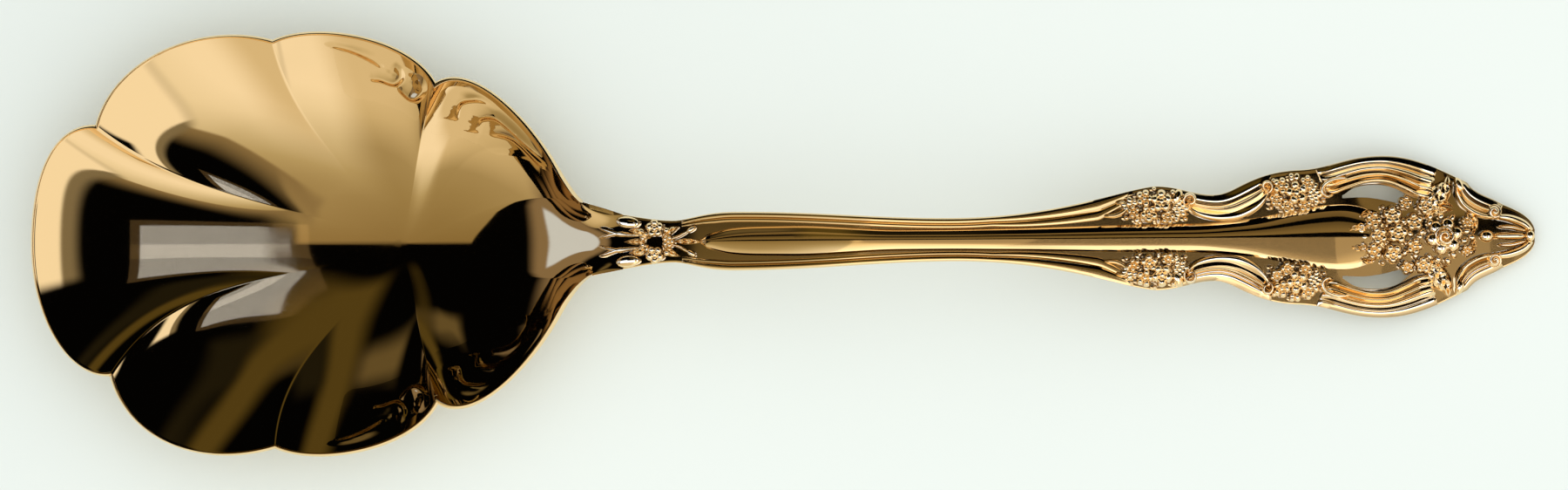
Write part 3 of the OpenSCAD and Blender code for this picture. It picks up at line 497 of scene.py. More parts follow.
class Trim(Skin):
    """A casting on the handle, from places drawn on the head or the neck, on side 1 or -1 of it."""

    # Depth of a casting's foot in the metal below, gap to the handle's edge and lean of the scrolls' tubes
    SINK, EDGE_GAP, SCROLL_LEAN = 0.15, 0.05, 1.8
    # How steeply the tops of flowers and buds fall towards the handle's edge, up to this far from its middle
    ROLL, ROLL_TO = 0.06, 3
    BEAD_RINGS = (1, 0.97, 0.9, 0.78, 0.6, 0.4, 0.2, 0.05)
    BLOSSOM_RINGS = (1, 0.97, 0.9, 0.8, 0.7, 0.6, 0.5, 0.42, 0.36, 0.3, 0.24, 0.16, 0.08)
    CURL_START, CURL_EYE = 250, 0.3
    # The rose's place and reach, then how many places a cluster's buds try, their turn and their size
    ROSE, ROSE_REACH = (74.2, 0), 2.9
    BUD_PLACES, BUD_TURN, BUD_SIZE = 90, 2.39996, (1.25, 1.0, 1.1)

    def __init__(self, handle, drawn):
        super().__init__()
        self.handle = handle
        self.drawn = drawn
        self.side = 1

    def at(self, a, b):
        return self.drawn(a, self.side * b)

    def route(self, points, count):
        return spline([self.at(*point) for point in points], count)

    def grid(self, plan, rise, relief, foot=0.0):
        """A skin over rows of plan points, closed by a strip in the metal below with the foot's relief."""
        top = self.handle.seat(plan, rise)
        under = self.handle.seat(plan[:, [-1, 0]], -self.SINK)
        shares = np.concatenate([np.broadcast_to(relief, top.shape[:2]), np.full((len(plan), 2), foot)], 1)
        self.tube(np.concatenate([top, under], 1), shares)

    def boss(self, centre, plan, rise, relief, roll=ROLL):
        """A skin over rings of plan points that climb from a foot in the metal below."""
        fall = roll * np.clip(centre[1], -self.ROLL_TO, self.ROLL_TO) * (plan[..., 1] - centre[1])
        rings = self.handle.seat(plan, rise - fall)
        rings[0] = self.handle.seat(plan[0], -self.SINK)
        self.tube(rings, relief)

    def band(self, left, right, profile, rise, ends=0.25):
        """A ridged band between two plan curves, thinning out at both ends."""
        s, height = profile
        t = np.linspace(0, 1, len(left))
        fade = mix(ends, 1, np.minimum(1, np.sin(np.pi * t) / np.sin(np.pi * 0.12)) ** 0.5)[:, None]
        plan = left[:, None] + (right - left)[:, None] * s[None, :, None]
        self.grid(plan, rise * fade * height, height / height.max())

    def edging(self, a0, a1, inner, rise, *spans):
        """A band of tubes between the edge of the head and a line inside it."""
        x = np.linspace(self.at(a0, 0)[0], self.at(a1, 0)[0], 70)
        outer = np.stack([x, self.handle.edge(x) - self.EDGE_GAP], 1)
        self.band(outer, self.route(inner, 70), tubes(*spans, lean=self.SCROLL_LEAN), rise, ends=0.4)

    def strand(self, route, width, rise, taper=0.35):
        """A rounded band along a route, slimmer towards both ends."""
        t = np.linspace(0, 1, len(route))
        half = width / 2 * mix(taper, 1, np.sin(np.pi * t) ** 0.6)[:, None] * across_of(route)
        self.band(route + half, route - half, ROUND, rise)

    def ribbon(self, points, width, rise, taper=0.35):
        self.strand(self.route(points, 60), width, rise, taper)

    def curl(self, place, radius, turns, width, rise):
        """A strand that winds in to its eye."""
        t = np.linspace(0, 1, 24)
        angle = np.radians(self.CURL_START) + 2 * np.pi * turns * t
        spiral = polar(self.at(*place), radius * mix(1, self.CURL_EYE, t), angle)
        self.strand(spline(spiral, 60), width, rise)

    def bead(self, place, length, width, rise, turn=0.0, around=20):
        """A rounded oval boss."""
        centre = np.array(self.at(*place))
        angle = np.linspace(0, 2 * np.pi, around, endpoint=False)
        rho = np.array(self.BEAD_RINGS)[:, None]
        lift = np.sqrt(1 - rho ** 2)
        turn = math.radians(self.side * turn)
        c, s = math.cos(turn), math.sin(turn)
        oval = np.stack([length / 2 * np.cos(angle), width / 2 * np.sin(angle)], 1)
        plan = centre + rho[..., None] * (oval @ np.array([[c, s], [-s, c]]))
        self.boss(centre, plan, rise * mix(0.4, 1, lift), mix(0.3, 1, lift))

    def blossom(self, place, radius, rise, petals=5, turn=0.0):
        """A flower of domed petals with creases between them and a knob in the middle."""
        centre = self.at(*place)
        angle = np.linspace(0, 2 * np.pi, petals * 12, endpoint=False)
        lobe = np.abs(np.cos(petals * (angle - math.radians(self.side * turn)) / 2))
        rho = np.array(self.BLOSSOM_RINGS)[:, None]
        reach = radius * rho * mix(1, 0.74 + 0.26 * lobe ** 0.7, smooth(rho))
        dome = np.clip(np.sin(np.pi * np.clip((rho - 0.28) / 0.74, 0, 1)), 0, 1) ** 0.6
        petal = 0.25 * (1 - rho ** 3) + 0.75 * dome * (0.3 + 0.7 * lobe ** 0.6)
        knob = 0.9 * np.sqrt(np.clip(1 - (rho / 0.34) ** 2, 0, 1))
        height = np.maximum(petal, knob)
        self.boss(centre, polar(centre, reach, angle), rise * mix(0.45, 1, height), np.clip(height, 0, 1))

    def whorl(self, place, radius, rise, turns, scallop, fall):
        """A disc with a ridge that winds in to its heart: a full flower, or a volute without scallops."""
        centre = self.at(*place)
        angle = np.linspace(0, 2 * np.pi, 84, endpoint=False)
        rho = np.concatenate([[1, 0.98], np.linspace(0.95, 0.04, 34)])[:, None]
        lobes = 1 - scallop + scallop * np.abs(np.cos(2.5 * angle)) ** 0.6
        reach = radius * rho * mix(1, lobes, smooth(rho))
        ridge = np.abs(np.sin(np.pi * (turns * rho - angle / (2 * np.pi)))) ** 0.55
        height = (1 - fall * rho ** 2) * mix(0.65, 1, ridge) * np.sqrt(np.clip(1 - rho ** 10, 0, 1))
        self.boss(centre, polar(centre, reach, angle), rise * height, mix(0.15, 1, ridge), roll=0)

    def leaf(self, points, width, rise):
        """A pointed leaf along a curved midrib, with a sunk vein and side veins."""
        route = self.route(points, 28)
        t = np.linspace(0, 1, len(route))[:, None]
        s = np.linspace(-1, 1, 15)
        half = width / 2 * np.clip(np.sin(np.pi * np.clip(t, 0.02, 0.98) ** 0.75), 0.04, 1) ** 0.8
        plan = route[:, None] + (half * s)[..., None] * across_of(route)[:, None]
        swell = (1 - s ** 2) ** 0.6 * np.sin(np.pi * np.clip(t, 0.03, 0.97)) ** 0.4
        vein = 0.4 * np.exp(-(s / 0.16) ** 2)
        side_veins = 0.16 * np.cos(2 * np.pi * (4 * t - 0.9 * np.abs(s)))
        height = swell * (1 - vein + side_veins)
        self.grid(plan, rise * height, np.clip(height, 0, 1))

    def buds(self, *places):
        for a, b, size in places:
            self.bead((a, b), size, size, 0.6 + 0.7 * size)

    def cluster(self, centre, reach, *places):
        """Blossoms, with small buds filling the oval between them."""
        for a, b, radius, turn in places:
            self.blossom((a, b), radius, 1.1 + 0.5 * radius, turn=turn)
        taken = np.array([place[:3] for place in places] + [(*self.ROSE, self.ROSE_REACH)])
        for k in range(self.BUD_PLACES):
            out, angle = math.sqrt((k + 0.5) / self.BUD_PLACES), self.BUD_TURN * k
            spot = centre[0] + reach[0] * out * math.cos(angle), centre[1] + reach[1] * out * math.sin(angle)
            if (np.linalg.norm(taken[:, :2] - spot, axis=1) > taken[:, 2] + 0.1).all():
                self.bead(spot, *self.BUD_SIZE, turn=math.degrees(angle), around=14)

    def pair(self, name):
        """Makes the casting on both sides of the handle."""
        self.piece(name + "_l", "ornament_gold", name + "_left")
        self.mirrored().piece(name + "_r", "ornament_gold", name + "_right")


# Shaders

class Wire:
    """A socket of a node tree, on which arithmetic adds Math nodes."""

    def __init__(self, tree, socket=None):
        self.tree = tree
        self.socket = socket

    def node(self, kind, settings=(), values=(), out=0):
        """Adds a node: its settings first, then the values or links of its sockets."""
        made = self.tree.nodes.new(kind)
        for key, value in dict(settings).items():
            setattr(made, key, value)
        for key, value in dict(values).items():
            if isinstance(value, Wire):
                self.tree.links.new(value.socket, made.inputs[key])
            else:
                made.inputs[key].default_value = value
        return Wire(self.tree, made.outputs[out])

    def ramp(self, fac, stops):
        """Colours along a value."""
        made = self.node("ShaderNodeValToRGB", values={"Fac": fac})
        elements = made.socket.node.color_ramp.elements
        while len(elements) < len(stops):
            elements.new(0.5)
        for element, (at, shade) in zip(elements, stops):
            element.position = at
            element.color = (*shade, 1)
        return made

    def axes(self):
        """The x, y and z of a vector."""
        split = self.node("ShaderNodeSeparateXYZ", values={0: self}).socket.node
        return [Wire(self.tree, out) for out in split.outputs]

    def feed(self, node, key):
        self.tree.links.new(self.socket, node.inputs[key])

    def step(self, low, high):
        """A soft step of this value from 0 at low to 1 at high."""
        limits = {"Value": self, "From Min": low, "From Max": high}
        return self.node("ShaderNodeMapRange", {"interpolation_type": "SMOOTHSTEP"}, limits)

    def between(self, low, high, soft):
        """A band of this value with soft ends."""
        return self.step(low - soft, low + soft) * (1 - self.step(high - soft, high + soft))

    def blend(self, first, second):
        """Mixes two colours by this value."""
        first, second = (tone if isinstance(tone, Wire) else (*tone, 1) for tone in (first, second))
        return self.node("ShaderNodeMix", {"data_type": "RGBA"}, {0: self, 6: first, 7: second}, 2)

    def math(self, operation, first, second):
        return self.node("ShaderNodeMath", {"operation": operation}, {0: first, 1: second})

    def __add__(self, other):
        return self.math("ADD", self, other)

    def __sub__(self, other):
        return self.math("SUBTRACT", self, other)

    def __rsub__(self, other):
        return self.math("SUBTRACT", other, self)

    def __mul__(self, other):
        return self.math("MULTIPLY", self, other)

    __radd__ = __add__
    __rmul__ = __mul__


def new_material(name):
    """A material, a wire of its node tree and its shader."""
    material = bpy.data.materials.new(name)
    material.use_nodes = True
    return material, Wire(material.node_tree), material.node_tree.nodes["Principled BSDF"]


def gold_finish(name, look, dulled, recess_shade):
    """Polished plating: hairline scratches, hazy wiped patches and painted shade in the recesses."""
    _, wire, shader = new_material(name)
    shader.inputs["Metallic"].default_value = 1
    shader.inputs["Specular IOR Level"].default_value = 0.5
    place = wire.node("ShaderNodeTexCoord", out=3)
    relief = wire.node("ShaderNodeAttribute", {"attribute_name": "relief"}, out=2)
    stretched = wire.node("ShaderNodeMapping", values={"Vector": place, "Scale": (1.0, 9.0, 2.0)})

    def noise(where, scale, detail, rough):
        values = {"Vector": where, "Scale": scale, "Detail": detail, "Roughness": rough}
        return wire.node("ShaderNodeTexNoise", values=values)

    cloud, hairs, specks = noise(place, 60, 4, 0.6), noise(stretched, 900, 3, 0.7), noise(place, 2600, 2, 0.5)
    # Painted shade: where the relief share is low, in hollows and grooves, the base colour turns towards the
    # dark shade colour, and the roughness rises there too
    sunk = (1 - relief.step(0.0, 0.5)) * recess_shade
    tone = wire.node("ShaderNodeClamp", values={0: sunk + (cloud - 0.5) * 0.12})
    tone.blend(look.gold, look.deep_gold).feed(shader, "Base Color")
    haze = cloud.step(0.5, 0.75) * 0.03 + hairs.step(0.55, 0.8) * 0.03
    (haze + sunk * 0.12 + (look.polish + dulled)).feed(shader, "Roughness")
    height = hairs * 0.7 + specks * 0.3
    bump = wire.node("ShaderNodeBump", values={"Strength": 0.1, "Distance": 0.000002, "Height": height})
    bump.feed(shader, "Normal")


# Operators

def shapes(context):
    bowl = BowlShape(context.scene.spoon_sizes)
    return bowl, HandleShape(context.scene.spoon_sizes, bowl)


class SPOON_OT_finishes(bpy.types.Operator):
    """Mix the gold finishes"""

    bl_idname = "spoon.finishes"
    bl_label = "Finishes"

    # How much duller than the bowl each finish is, and how much shade is painted into its recesses
    FINISHES = {"bowl_gold": (0, 0), "handle_gold": (0.02, 0.8), "ornament_gold": (0.03, 0.85)}

    def execute(self, context):
        for slot, (dulled, recess_shade) in self.FINISHES.items():
            gold_finish(PLATING[slot], context.scene.spoon_finish, dulled, recess_shade)
        return {"FINISHED"}


class SPOON_OT_bowl(bpy.types.Operator):
    """Build the scalloped bowl"""

    bl_idname = "spoon.bowl"
    bl_label = "Bowl"

    # Steps round each segment of half the rim, and shares of the way out to it
    STEPS = (50, 70, 90, 74, 32, 8)
    RINGS = (*np.linspace(0.02, 0.86, 70), *np.linspace(0.87, 1, 26))
    LIP_STEPS, LIP_ROUND = 9, 0.8
    UP = np.array([0, 0, 1.0])

    def execute(self, context):
        bowl, _ = shapes(context)
        st = bowl.all_round(self.STEPS)
        u = np.array(self.RINGS)[:, None]
        inner = bowl.inside(u, st)
        around = np.roll(inner, -1, 1) - np.roll(inner, 1, 1)
        out = unit(np.cross(np.gradient(inner, axis=0), around))
        out *= -np.sign(out[..., 2:])
        out = unit(mix(out, -self.UP, (st["rim_neck"] * u)[..., None]))
        beside = np.minimum(1, np.abs(st["rim"][:, 1]) / bowl.joint[1])
        plate = bowl.neck_t * (1 - bowl.EDGE_RISE * beside ** 4)
        wall = mix(bowl.wall, bowl.rim_edge, smooth((u - 0.6) / 0.4))
        outer = inner + out * mix(wall, plate, st["rim_neck"] * u ** 2)[..., None]
        outer[..., 0] = np.minimum(outer[..., 0], bowl.neck)
        outer[..., 2] = np.maximum(outer[..., 2], 0)
        edge_in, edge_out = inner[-1], outer[-1]
        thick = np.linalg.norm(edge_out - edge_in, axis=-1, keepdims=True)
        lift = 0.5 * thick * (1 - st["rim_neck"][:, None])
        lip = [
            mix(edge_in, edge_out, 0.5 - 0.5 * math.cos(a)) + self.UP * lift * math.sin(a) * self.LIP_ROUND
            for a in np.linspace(0, np.pi, self.LIP_STEPS)[1:-1]
        ]
        skin = Skin()
        skin.tube(np.concatenate([inner, lip, outer[::-3]]))
        skin.piece("bowl_shell", "bowl_gold", "bowl", sharp=70)
        return {"FINISHED"}


class SPOON_OT_blank(bpy.types.Operator):
    """Build the handle blank with its two piercings"""

    bl_idname = "spoon.blank"
    bl_label = "Handle blank"

    # Edges of a piercing, as drawn, and where it starts and ends along the head
    INNER = ((57.6, 6.0), (58.8, 5.9), (62, 6.0), (65, 5.6), (67.5, 5.0), (69.6, 4.75), (71, 4.7))
    OUTER = ((57.6, 6.15), (58.8, 6.3), (60.8, 7.5), (64, 7.9), (67.2, 7.2), (69.6, 5.3), (71, 5.1))
    SLOT = (58.8, 69.6)
    # Columns of one half from the middle: up to the piercing, over it and on to the rounded edge
    MIDDLE, CELLS, BORDER, ROUNDED = 6, 2, 5, 4
    # Width and drop of the rounded edge, how far the underside rises towards it and the relief inside it,
    # which sets how much shade is painted on the flat plate
    EDGE, EDGE_DROP, UNDER, SUNK_RELIEF = 0.3, 0.8, 0.45, 0.35

    def execute(self, context):
        _, handle = shapes(context)
        inner, outer = (spline(handle.head(line), 80) for line in (self.INNER, self.OUTER))
        first, last = (handle.on_head(a, 0)[0] for a in self.SLOT)
        x = np.concatenate([
            np.linspace(handle.neck, first, 150, endpoint=False), np.linspace(first, last, 40),
            np.linspace(last, handle.end - 0.3, 60)[1:], handle.end - np.array([0.2, 0.1, 0.04, 0]),
        ])
        half = handle.edge(x)
        low = np.minimum(np.interp(x, inner[:, 0], inner[:, 1]), 0.6 * half)
        high = np.minimum(np.interp(x, outer[:, 0], outer[:, 1]), 0.8 * half)
        rim = np.maximum(half - self.EDGE, 0.9 * half)
        turn = np.linspace(0, 1, self.ROUNDED + 1)[1:] * np.pi / 2
        knots = [low * k / self.MIDDLE for k in range(self.MIDDLE + 1)] + [mix(low, high, 0.5), high]
        knots += [mix(high, rim, k / self.BORDER) for k in range(1, self.BORDER + 1)]
        flat = len(knots)
        y = np.stack(knots + [mix(rim, half, math.sin(a)) for a in turn], 1)
        drop = np.concatenate([np.zeros(flat), 1 - np.cos(turn)]) * self.EDGE * self.EDGE_DROP
        ease = np.minimum(1, y / half[:, None])
        top = handle.ground(x[:, None], y) - drop
        under = handle.spine(x)[:, None] - handle.thickness(x)[:, None] * (1 - self.UNDER * ease ** 4)
        n, m = y.shape
        wide = 2 * m - 1
        across = np.concatenate([-y[:, :0:-1], y], 1)
        both = [np.concatenate([z[:, :0:-1], z], 1) for z in (top, under)]
        points = [np.stack([np.broadcast_to(x[:, None], across.shape), across, z], -1) for z in both]
        relief = np.full((2, n, wide), self.SUNK_RELIEF)
        relief[:, :, :self.ROUNDED] = relief[:, :, -self.ROUNDED:] = 1
        rows = np.nonzero((x >= first - 1e-6) & (x <= last + 1e-6))[0]
        columns = range(self.MIDDLE, self.MIDDLE + self.CELLS)
        pierced = set((i, j) for i in rows[:-1] for j in columns)

        def at(level, i, j):
            return (level * n + i) * wide + j + m - 1

        def is_open(i, j):
            return (i, j if j >= 0 else -j - 1) in pierced or not (0 <= i < n - 1 and -m < j < m - 1)

        faces = []
        for i in range(n - 1):
            for j in range(1 - m, m - 1):
                if is_open(i, j):
                    continue
                corners = (i, j), (i + 1, j), (i + 1, j + 1), (i, j + 1)
                faces.append([at(0, *k) for k in corners])
                faces.append([at(1, *k) for k in corners[::-1]])
                beside = (i, j - 1), (i + 1, j), (i, j + 1), (i - 1, j)
                for p, q, cell in zip(corners, corners[1:] + corners[:1], beside):
                    if is_open(*cell):
                        faces.append([at(0, *q), at(0, *p), at(1, *p), at(1, *q)])
        skin = Skin()
        skin.add(points, relief, faces)
        skin.piece("pierced_blank", "handle_gold", "handle_blank")
        return {"FINISHED"}


class SPOON_OT_panel(bpy.types.Operator):
    """Build the convex panel along the middle of the handle"""

    bl_idname = "spoon.panel"
    bl_label = "Centre panel"

    # Half widths along the stem and the head, and how much slimmer than the stem the panel is
    STEM = ((11.8, 0.15), (12.8, 0.9), (14.2, 1.6), (18, 2.15))
    SWELL_BORDER, STEM_BORDER = 2.1, 1.65
    HEAD = (
        (12, 1.75), (24, 2.0), (38, 2.2), (46, 3.0), (54, 4.6),
        (58, 5.05), (61, 4.9), (63.5, 4.0), (65.5, 2.2), (66.2, 0.4),
    )
    CROWN, EDGE_FALL = 1.1, 0.82

    def execute(self, context):
        _, handle = shapes(context)
        mm = in_mm(context.scene.spoon_sizes)
        swell, slim = mm.swell_width / 2 - self.SWELL_BORDER, mm.stem_width / 2 - self.STEM_BORDER
        line = handle.stem([*self.STEM, (28, swell), (40, slim)])
        line = np.array(line + [(handle.slim, slim)] + handle.head(self.HEAD))
        start, point, end = line[[0, 1, -1], 0]
        x = np.concatenate([np.linspace(start, point, 6), np.linspace(point, end, 190)[1:]])
        half = np.interp(x, line[:, 0], line[:, 1])
        half = np.convolve(np.pad(half, 4, mode="edge"), np.ones(9) / 9, "valid")
        s = np.sin(np.linspace(-1, 1, 61) * np.pi / 2)
        rise = (self.CROWN - self.EDGE_FALL * s ** 2) * np.minimum(1, 6 * (1 - np.abs(s))) ** 0.5
        fade = (0.45 + 0.1 * half) * np.minimum(1, np.minimum(x - x[0], x[-1] - x) / 1.2 + 0.15) ** 0.6
        plan = np.stack([np.broadcast_to(x[:, None], (len(x), len(s))), half[:, None] * s], -1)
        panel = Trim(handle, handle.on_head)
        panel.grid(plan, rise * fade[:, None], 1.0, foot=1.0)
        panel.piece("convex_panel", "handle_gold", "centre_panel", sharp=80)
        return {"FINISHED"}


class SPOON_OT_rails(bpy.types.Operator):
    """Build the border rails along both edges of the stem"""

    bl_idname = "spoon.rails"
    bl_label = "Border rails"

    # Places along the neck and then the head, with the rail's width there
    NECK = ((9, 1.0), (14, 1.5))
    HEAD = ((6, 1.5), (22, 3.2), (27, 1.6))
    EDGE_GAP = 0.04

    def execute(self, context):
        _, handle = shapes(context)
        marks = handle.stem(self.NECK) + [(handle.on_head(a, 0)[0], width) for a, width in self.HEAD]
        at, widths = np.array(marks).T
        x = np.linspace(at[0], at[-1], 140)
        edge = handle.edge(x) - self.EDGE_GAP
        outer, inner = np.stack([x, edge], 1), np.stack([x, edge - np.interp(x, at, widths)], 1)
        rail = Trim(handle, handle.on_head)
        rail.band(outer, inner, tubes((0, 0.55, 1), (0.57, 1, 0.75), low=0.55), 0.95, ends=0.15)
        rail.ribbon(((22.6, 3.4), (24.4, 3.5), (25.9, 4.4), (25.6, 5.4), (24.4, 5.2)), 0.9, 1.1)
        rail.piece("rail_left", "handle_gold", "border_rail_left")
        rail.mirrored().piece("rail_right", "handle_gold", "border_rail_right")
        return {"FINISHED"}


class SPOON_OT_scrolls(bpy.types.Operator):
    """Build the ridged scrolls along the edges of the head"""

    bl_idname = "spoon.scrolls"
    bl_label = "Head scrolls"

    def execute(self, context):
        _, handle = shapes(context)
        waist, framing, tip, finial = (Trim(handle, handle.on_head) for _ in range(4))
        waist.edging(
            33.8, 47.9,
            ((35.4, 4.6), (36.6, 3.4), (38.6, 2.7), (40.9, 2.5), (43.6, 2.9), (46.2, 4.4), (47.9, 6.9)),
            1.5, (0, 0.34, 0.5), (0.36, 0.54, 0.8), (0.56, 1, 1),
        )
        waist.curl((35.6, 5.7), 1.1, -1.3, 0.75, 1.7)
        waist.curl((47.2, 7.7), 1.0, 1.2, 0.7, 1.7)
        waist.bead((33.7, 6.3), 1.5, 2.4, 1.5, turn=-25)
        waist.pair("waist_scroll")
        framing.edging(
            54.8, 73.2,
            (
                (56.6, 6.5), (57.8, 6.6), (59.4, 7.2), (62.5, 8.1),
                (65.5, 8.1), (68.2, 7.0), (70.2, 6.0), (72.2, 5.6),
            ),
            1.6, (0, 0.26, 0.45), (0.28, 0.52, 0.75), (0.54, 0.74, 0.9), (0.76, 1, 1),
        )
        framing.ribbon(((60, 8.9), (57.6, 8.8), (56, 8.0), (55.6, 6.9), (56.4, 6.2), (57.4, 6.5)), 0.9, 1.7)
        framing.leaf(((71.4, 5.0), (73.0, 5.9), (74.4, 7.6), (74.9, 9.2)), 3.4, 1.7)
        framing.pair("frame_scroll")
        tip.edging(
            76.5, 83.2,
            ((75.9, 7.8), (76.0, 6.2), (76.9, 4.5), (78.7, 3.2), (80.8, 2.6), (82.4, 2.8)),
            1.5, (0, 0.42, 0.5), (0.44, 0.62, 0.8), (0.64, 1, 1),
        )
        tip.whorl((81.8, 3.7), 1.2, 1.7, turns=1.6, scallop=0, fall=0.35)
        tip.bead((76.5, 7.9), 1.2, 2.2, 1.5, turn=20)
        tip.pair("tip_scroll")
        for side in (1, -1):
            finial.side = side
            finial.ribbon(((82.0, 3.0), (84.2, 2.7), (86.2, 1.9), (87.5, 0.7)), 1.3, 1.5, taper=0.6)
            finial.ribbon(((82.4, 1.4), (84.6, 1.3), (86.8, 0.7)), 0.8, 1.2)
        finial.bead((87.2, 0), 1.5, 1.8, 1.5)
        finial.bead((80.6, 0), 2.2, 1.9, 1.8)
        finial.ribbon(((81.6, 0), (84, 0), (86.6, 0)), 1.2, 1.6, taper=0.7)
        finial.piece("finial_drop", "ornament_gold", "tip_finial")
        return {"FINISHED"}


class SPOON_OT_flowers(bpy.types.Operator):
    """Build the sprays and the bouquet on the head"""

    bl_idname = "spoon.flowers"
    bl_label = "Head flowers"

    def execute(self, context):
        _, handle = shapes(context)
        stem, head, rose, flowers, leaves = (Trim(handle, handle.on_head) for _ in range(5))
        stem.cluster(
            (30.3, 4.6), (4.8, 2.4),
            (28.7, 6.0, 1.4, 0), (31.3, 5.6, 1.8, 20), (29.4, 3.8, 1.5, 50), (32.2, 3.2, 1.2, 10),
            (27.1, 4.0, 1.1, 30),
        )
        stem.buds(
            (33.5, 2.8, 0.9), (34.9, 2.9, 0.8), (26.0, 3.1, 0.8), (27.3, 5.7, 0.8), (33.0, 6.9, 0.9),
            (33.3, 4.7, 1.0), (30.2, 7.4, 0.7), (30.8, 2.4, 0.8), (28.0, 2.4, 0.8),
        )
        stem.leaf(((33.0, 4.6), (34.4, 3.7), (35.4, 3.6)), 1.3, 1.2)
        stem.leaf(((29.0, 3.4), (27.6, 3.4), (26.4, 4.2)), 1.0, 1.1)
        stem.pair("stem_spray")
        head.cluster(
            (51.4, 6.5), (3.9, 2.7),
            (49.4, 7.8, 1.4, 0), (51.8, 6.8, 1.9, 30), (48.7, 5.8, 1.2, 15), (50.4, 4.8, 1.3, 40),
            (53.4, 8.3, 1.2, 10), (53.0, 4.9, 1.2, 25),
        )
        head.buds(
            (48.3, 8.6, 0.8), (51.0, 9.3, 0.9), (54.3, 6.5, 0.9), (54.7, 5.1, 0.8), (55.9, 5.5, 0.8),
            (47.9, 4.5, 0.7), (51.6, 3.9, 0.7),
        )
        head.leaf(((49.2, 6.0), (48.2, 6.8), (48.0, 7.9)), 1.1, 1.1)
        head.leaf(((53.2, 6.8), (54.2, 7.6), (54.6, 8.6)), 1.1, 1.1)
        head.pair("head_spray")
        rose.blossom(Trim.ROSE, 2.95, 1.9, 6, 15)
        rose.whorl(Trim.ROSE, 2.3, 2.8, turns=2.6, scallop=0.22, fall=0.62)
        rose.piece("rose", "ornament_gold", "bouquet_rose")
        flowers.cluster(
            (69.8, 0.0), (8.6, 4.7),
            (63.4, 2.6, 1.4, 0), (66.3, 3.3, 1.6, 20), (64.2, 0.2, 1.5, 40), (67.1, 0.5, 1.7, 10),
            (63.5, -2.2, 1.4, 30), (66.4, -2.6, 1.6, 50), (69.6, -1.5, 1.4, 0), (69.6, 2.3, 1.5, 25),
            (71.3, 4.7, 1.4, 45), (70.9, -4.4, 1.4, 15), (68.5, -4.7, 1.2, 35), (68.3, 5.2, 1.2, 5),
            (77.6, 2.2, 1.0, 20), (77.6, -2.2, 1.0, 50),
        )
        flowers.buds(
            (61.8, 1.3, 0.9), (61.8, -1.0, 0.9), (65.4, 1.7, 0.8), (65.3, -1.1, 0.8), (71.2, 0.6, 0.8),
            (68.3, -1.0, 0.8), (68.2, 2.0, 0.8), (64.9, 4.5, 0.8), (64.8, -4.0, 0.8),
        )
        flowers.piece("blossoms", "ornament_gold", "bouquet_blossoms")
        for points, width in (
            (((63.2, 0.9), (61.2, 1.5), (59.2, 0.9)), 1.6), (((63.2, -0.9), (61.4, -1.6), (59.5, -1.5)), 1.6),
            (((64.2, 3.4), (62.6, 3.5), (61.0, 3.0)), 1.3), (((63.8, -3.4), (62.4, -3.6), (61.2, -3.2)), 1.2),
            (((77.6, 3.7), (78.7, 1.9), (78.5, 0.2)), 1.7), (((77.8, -2.9), (78.6, -1.4), (78.5, 0.0)), 1.5),
            (((71.2, 2.8), (72.8, 3.9), (75.6, 4.0)), 1.7), (((71.4, -2.8), (72.6, -4.2), (74.8, -4.6)), 1.9),
            (((72.0, 5.0), (74.2, 5.2), (75.6, 4.4)), 1.2),
        ):
            leaves.leaf(points, width, 1.4)
        leaves.piece("leaves", "ornament_gold", "bouquet_leaves")
        return {"FINISHED"}


class SPOON_OT_neck(bpy.types.Operator):
    """Build the flowers and leaves on the neck"""

    bl_idname = "spoon.neck"
    bl_label = "Neck flowers"

    def execute(self, context):
        _, handle = shapes(context)
        flowers, leaves = Trim(handle, handle.on_neck), Trim(handle, handle.on_neck)
        for side in (1, -1):
            flowers.side = leaves.side = side
            flowers.blossom((4.8, 2.0), 1.4, 1.4, turn=20)
            flowers.bead((0.7, 2.95), 3.6, 1.8, 1.2, turn=-6)
            flowers.bead((6.6, 1.7), 1.0, 0.9, 1.1)
            flowers.bead((3.0, 0.5), 0.8, 0.8, 1.0)
            flowers.bead((10.4, 1.8), 1.6, 0.8, 1.0, turn=32)
            for tip in (2.1, 0.6):
                leaves.ribbon(((2.6, 0.9), (0.6, 1.1), (-1.0, 1.25), (-3.7, tip)), 0.75, 0.8, taper=0.25)
            leaves.leaf(((4.0, 0.6), (2.4, 1.5), (0.9, 1.7)), 1.5, 1.1)
            leaves.leaf(((6.0, 0.5), (7.0, 1.5), (8.6, 2.2)), 1.3, 1.1)
            leaves.ribbon(((7.0, 0.3), (8.6, 0.8), (10.2, 1.7)), 0.5, 0.9)
        flowers.blossom((6.9, 0), 1.0, 1.3)
        leaves.leaf(((3.4, 0), (2.0, 0), (0.2, 0)), 1.0, 1.0)
        leaves.leaf(((8.0, 0), (10.0, 0), (12.6, 0)), 0.9, 0.9)
        flowers.piece("neck_flowers", "ornament_gold", "neck_blossoms")
        leaves.piece("neck_sprigs", "ornament_gold", "neck_leaves")
        return {"FINISHED"}


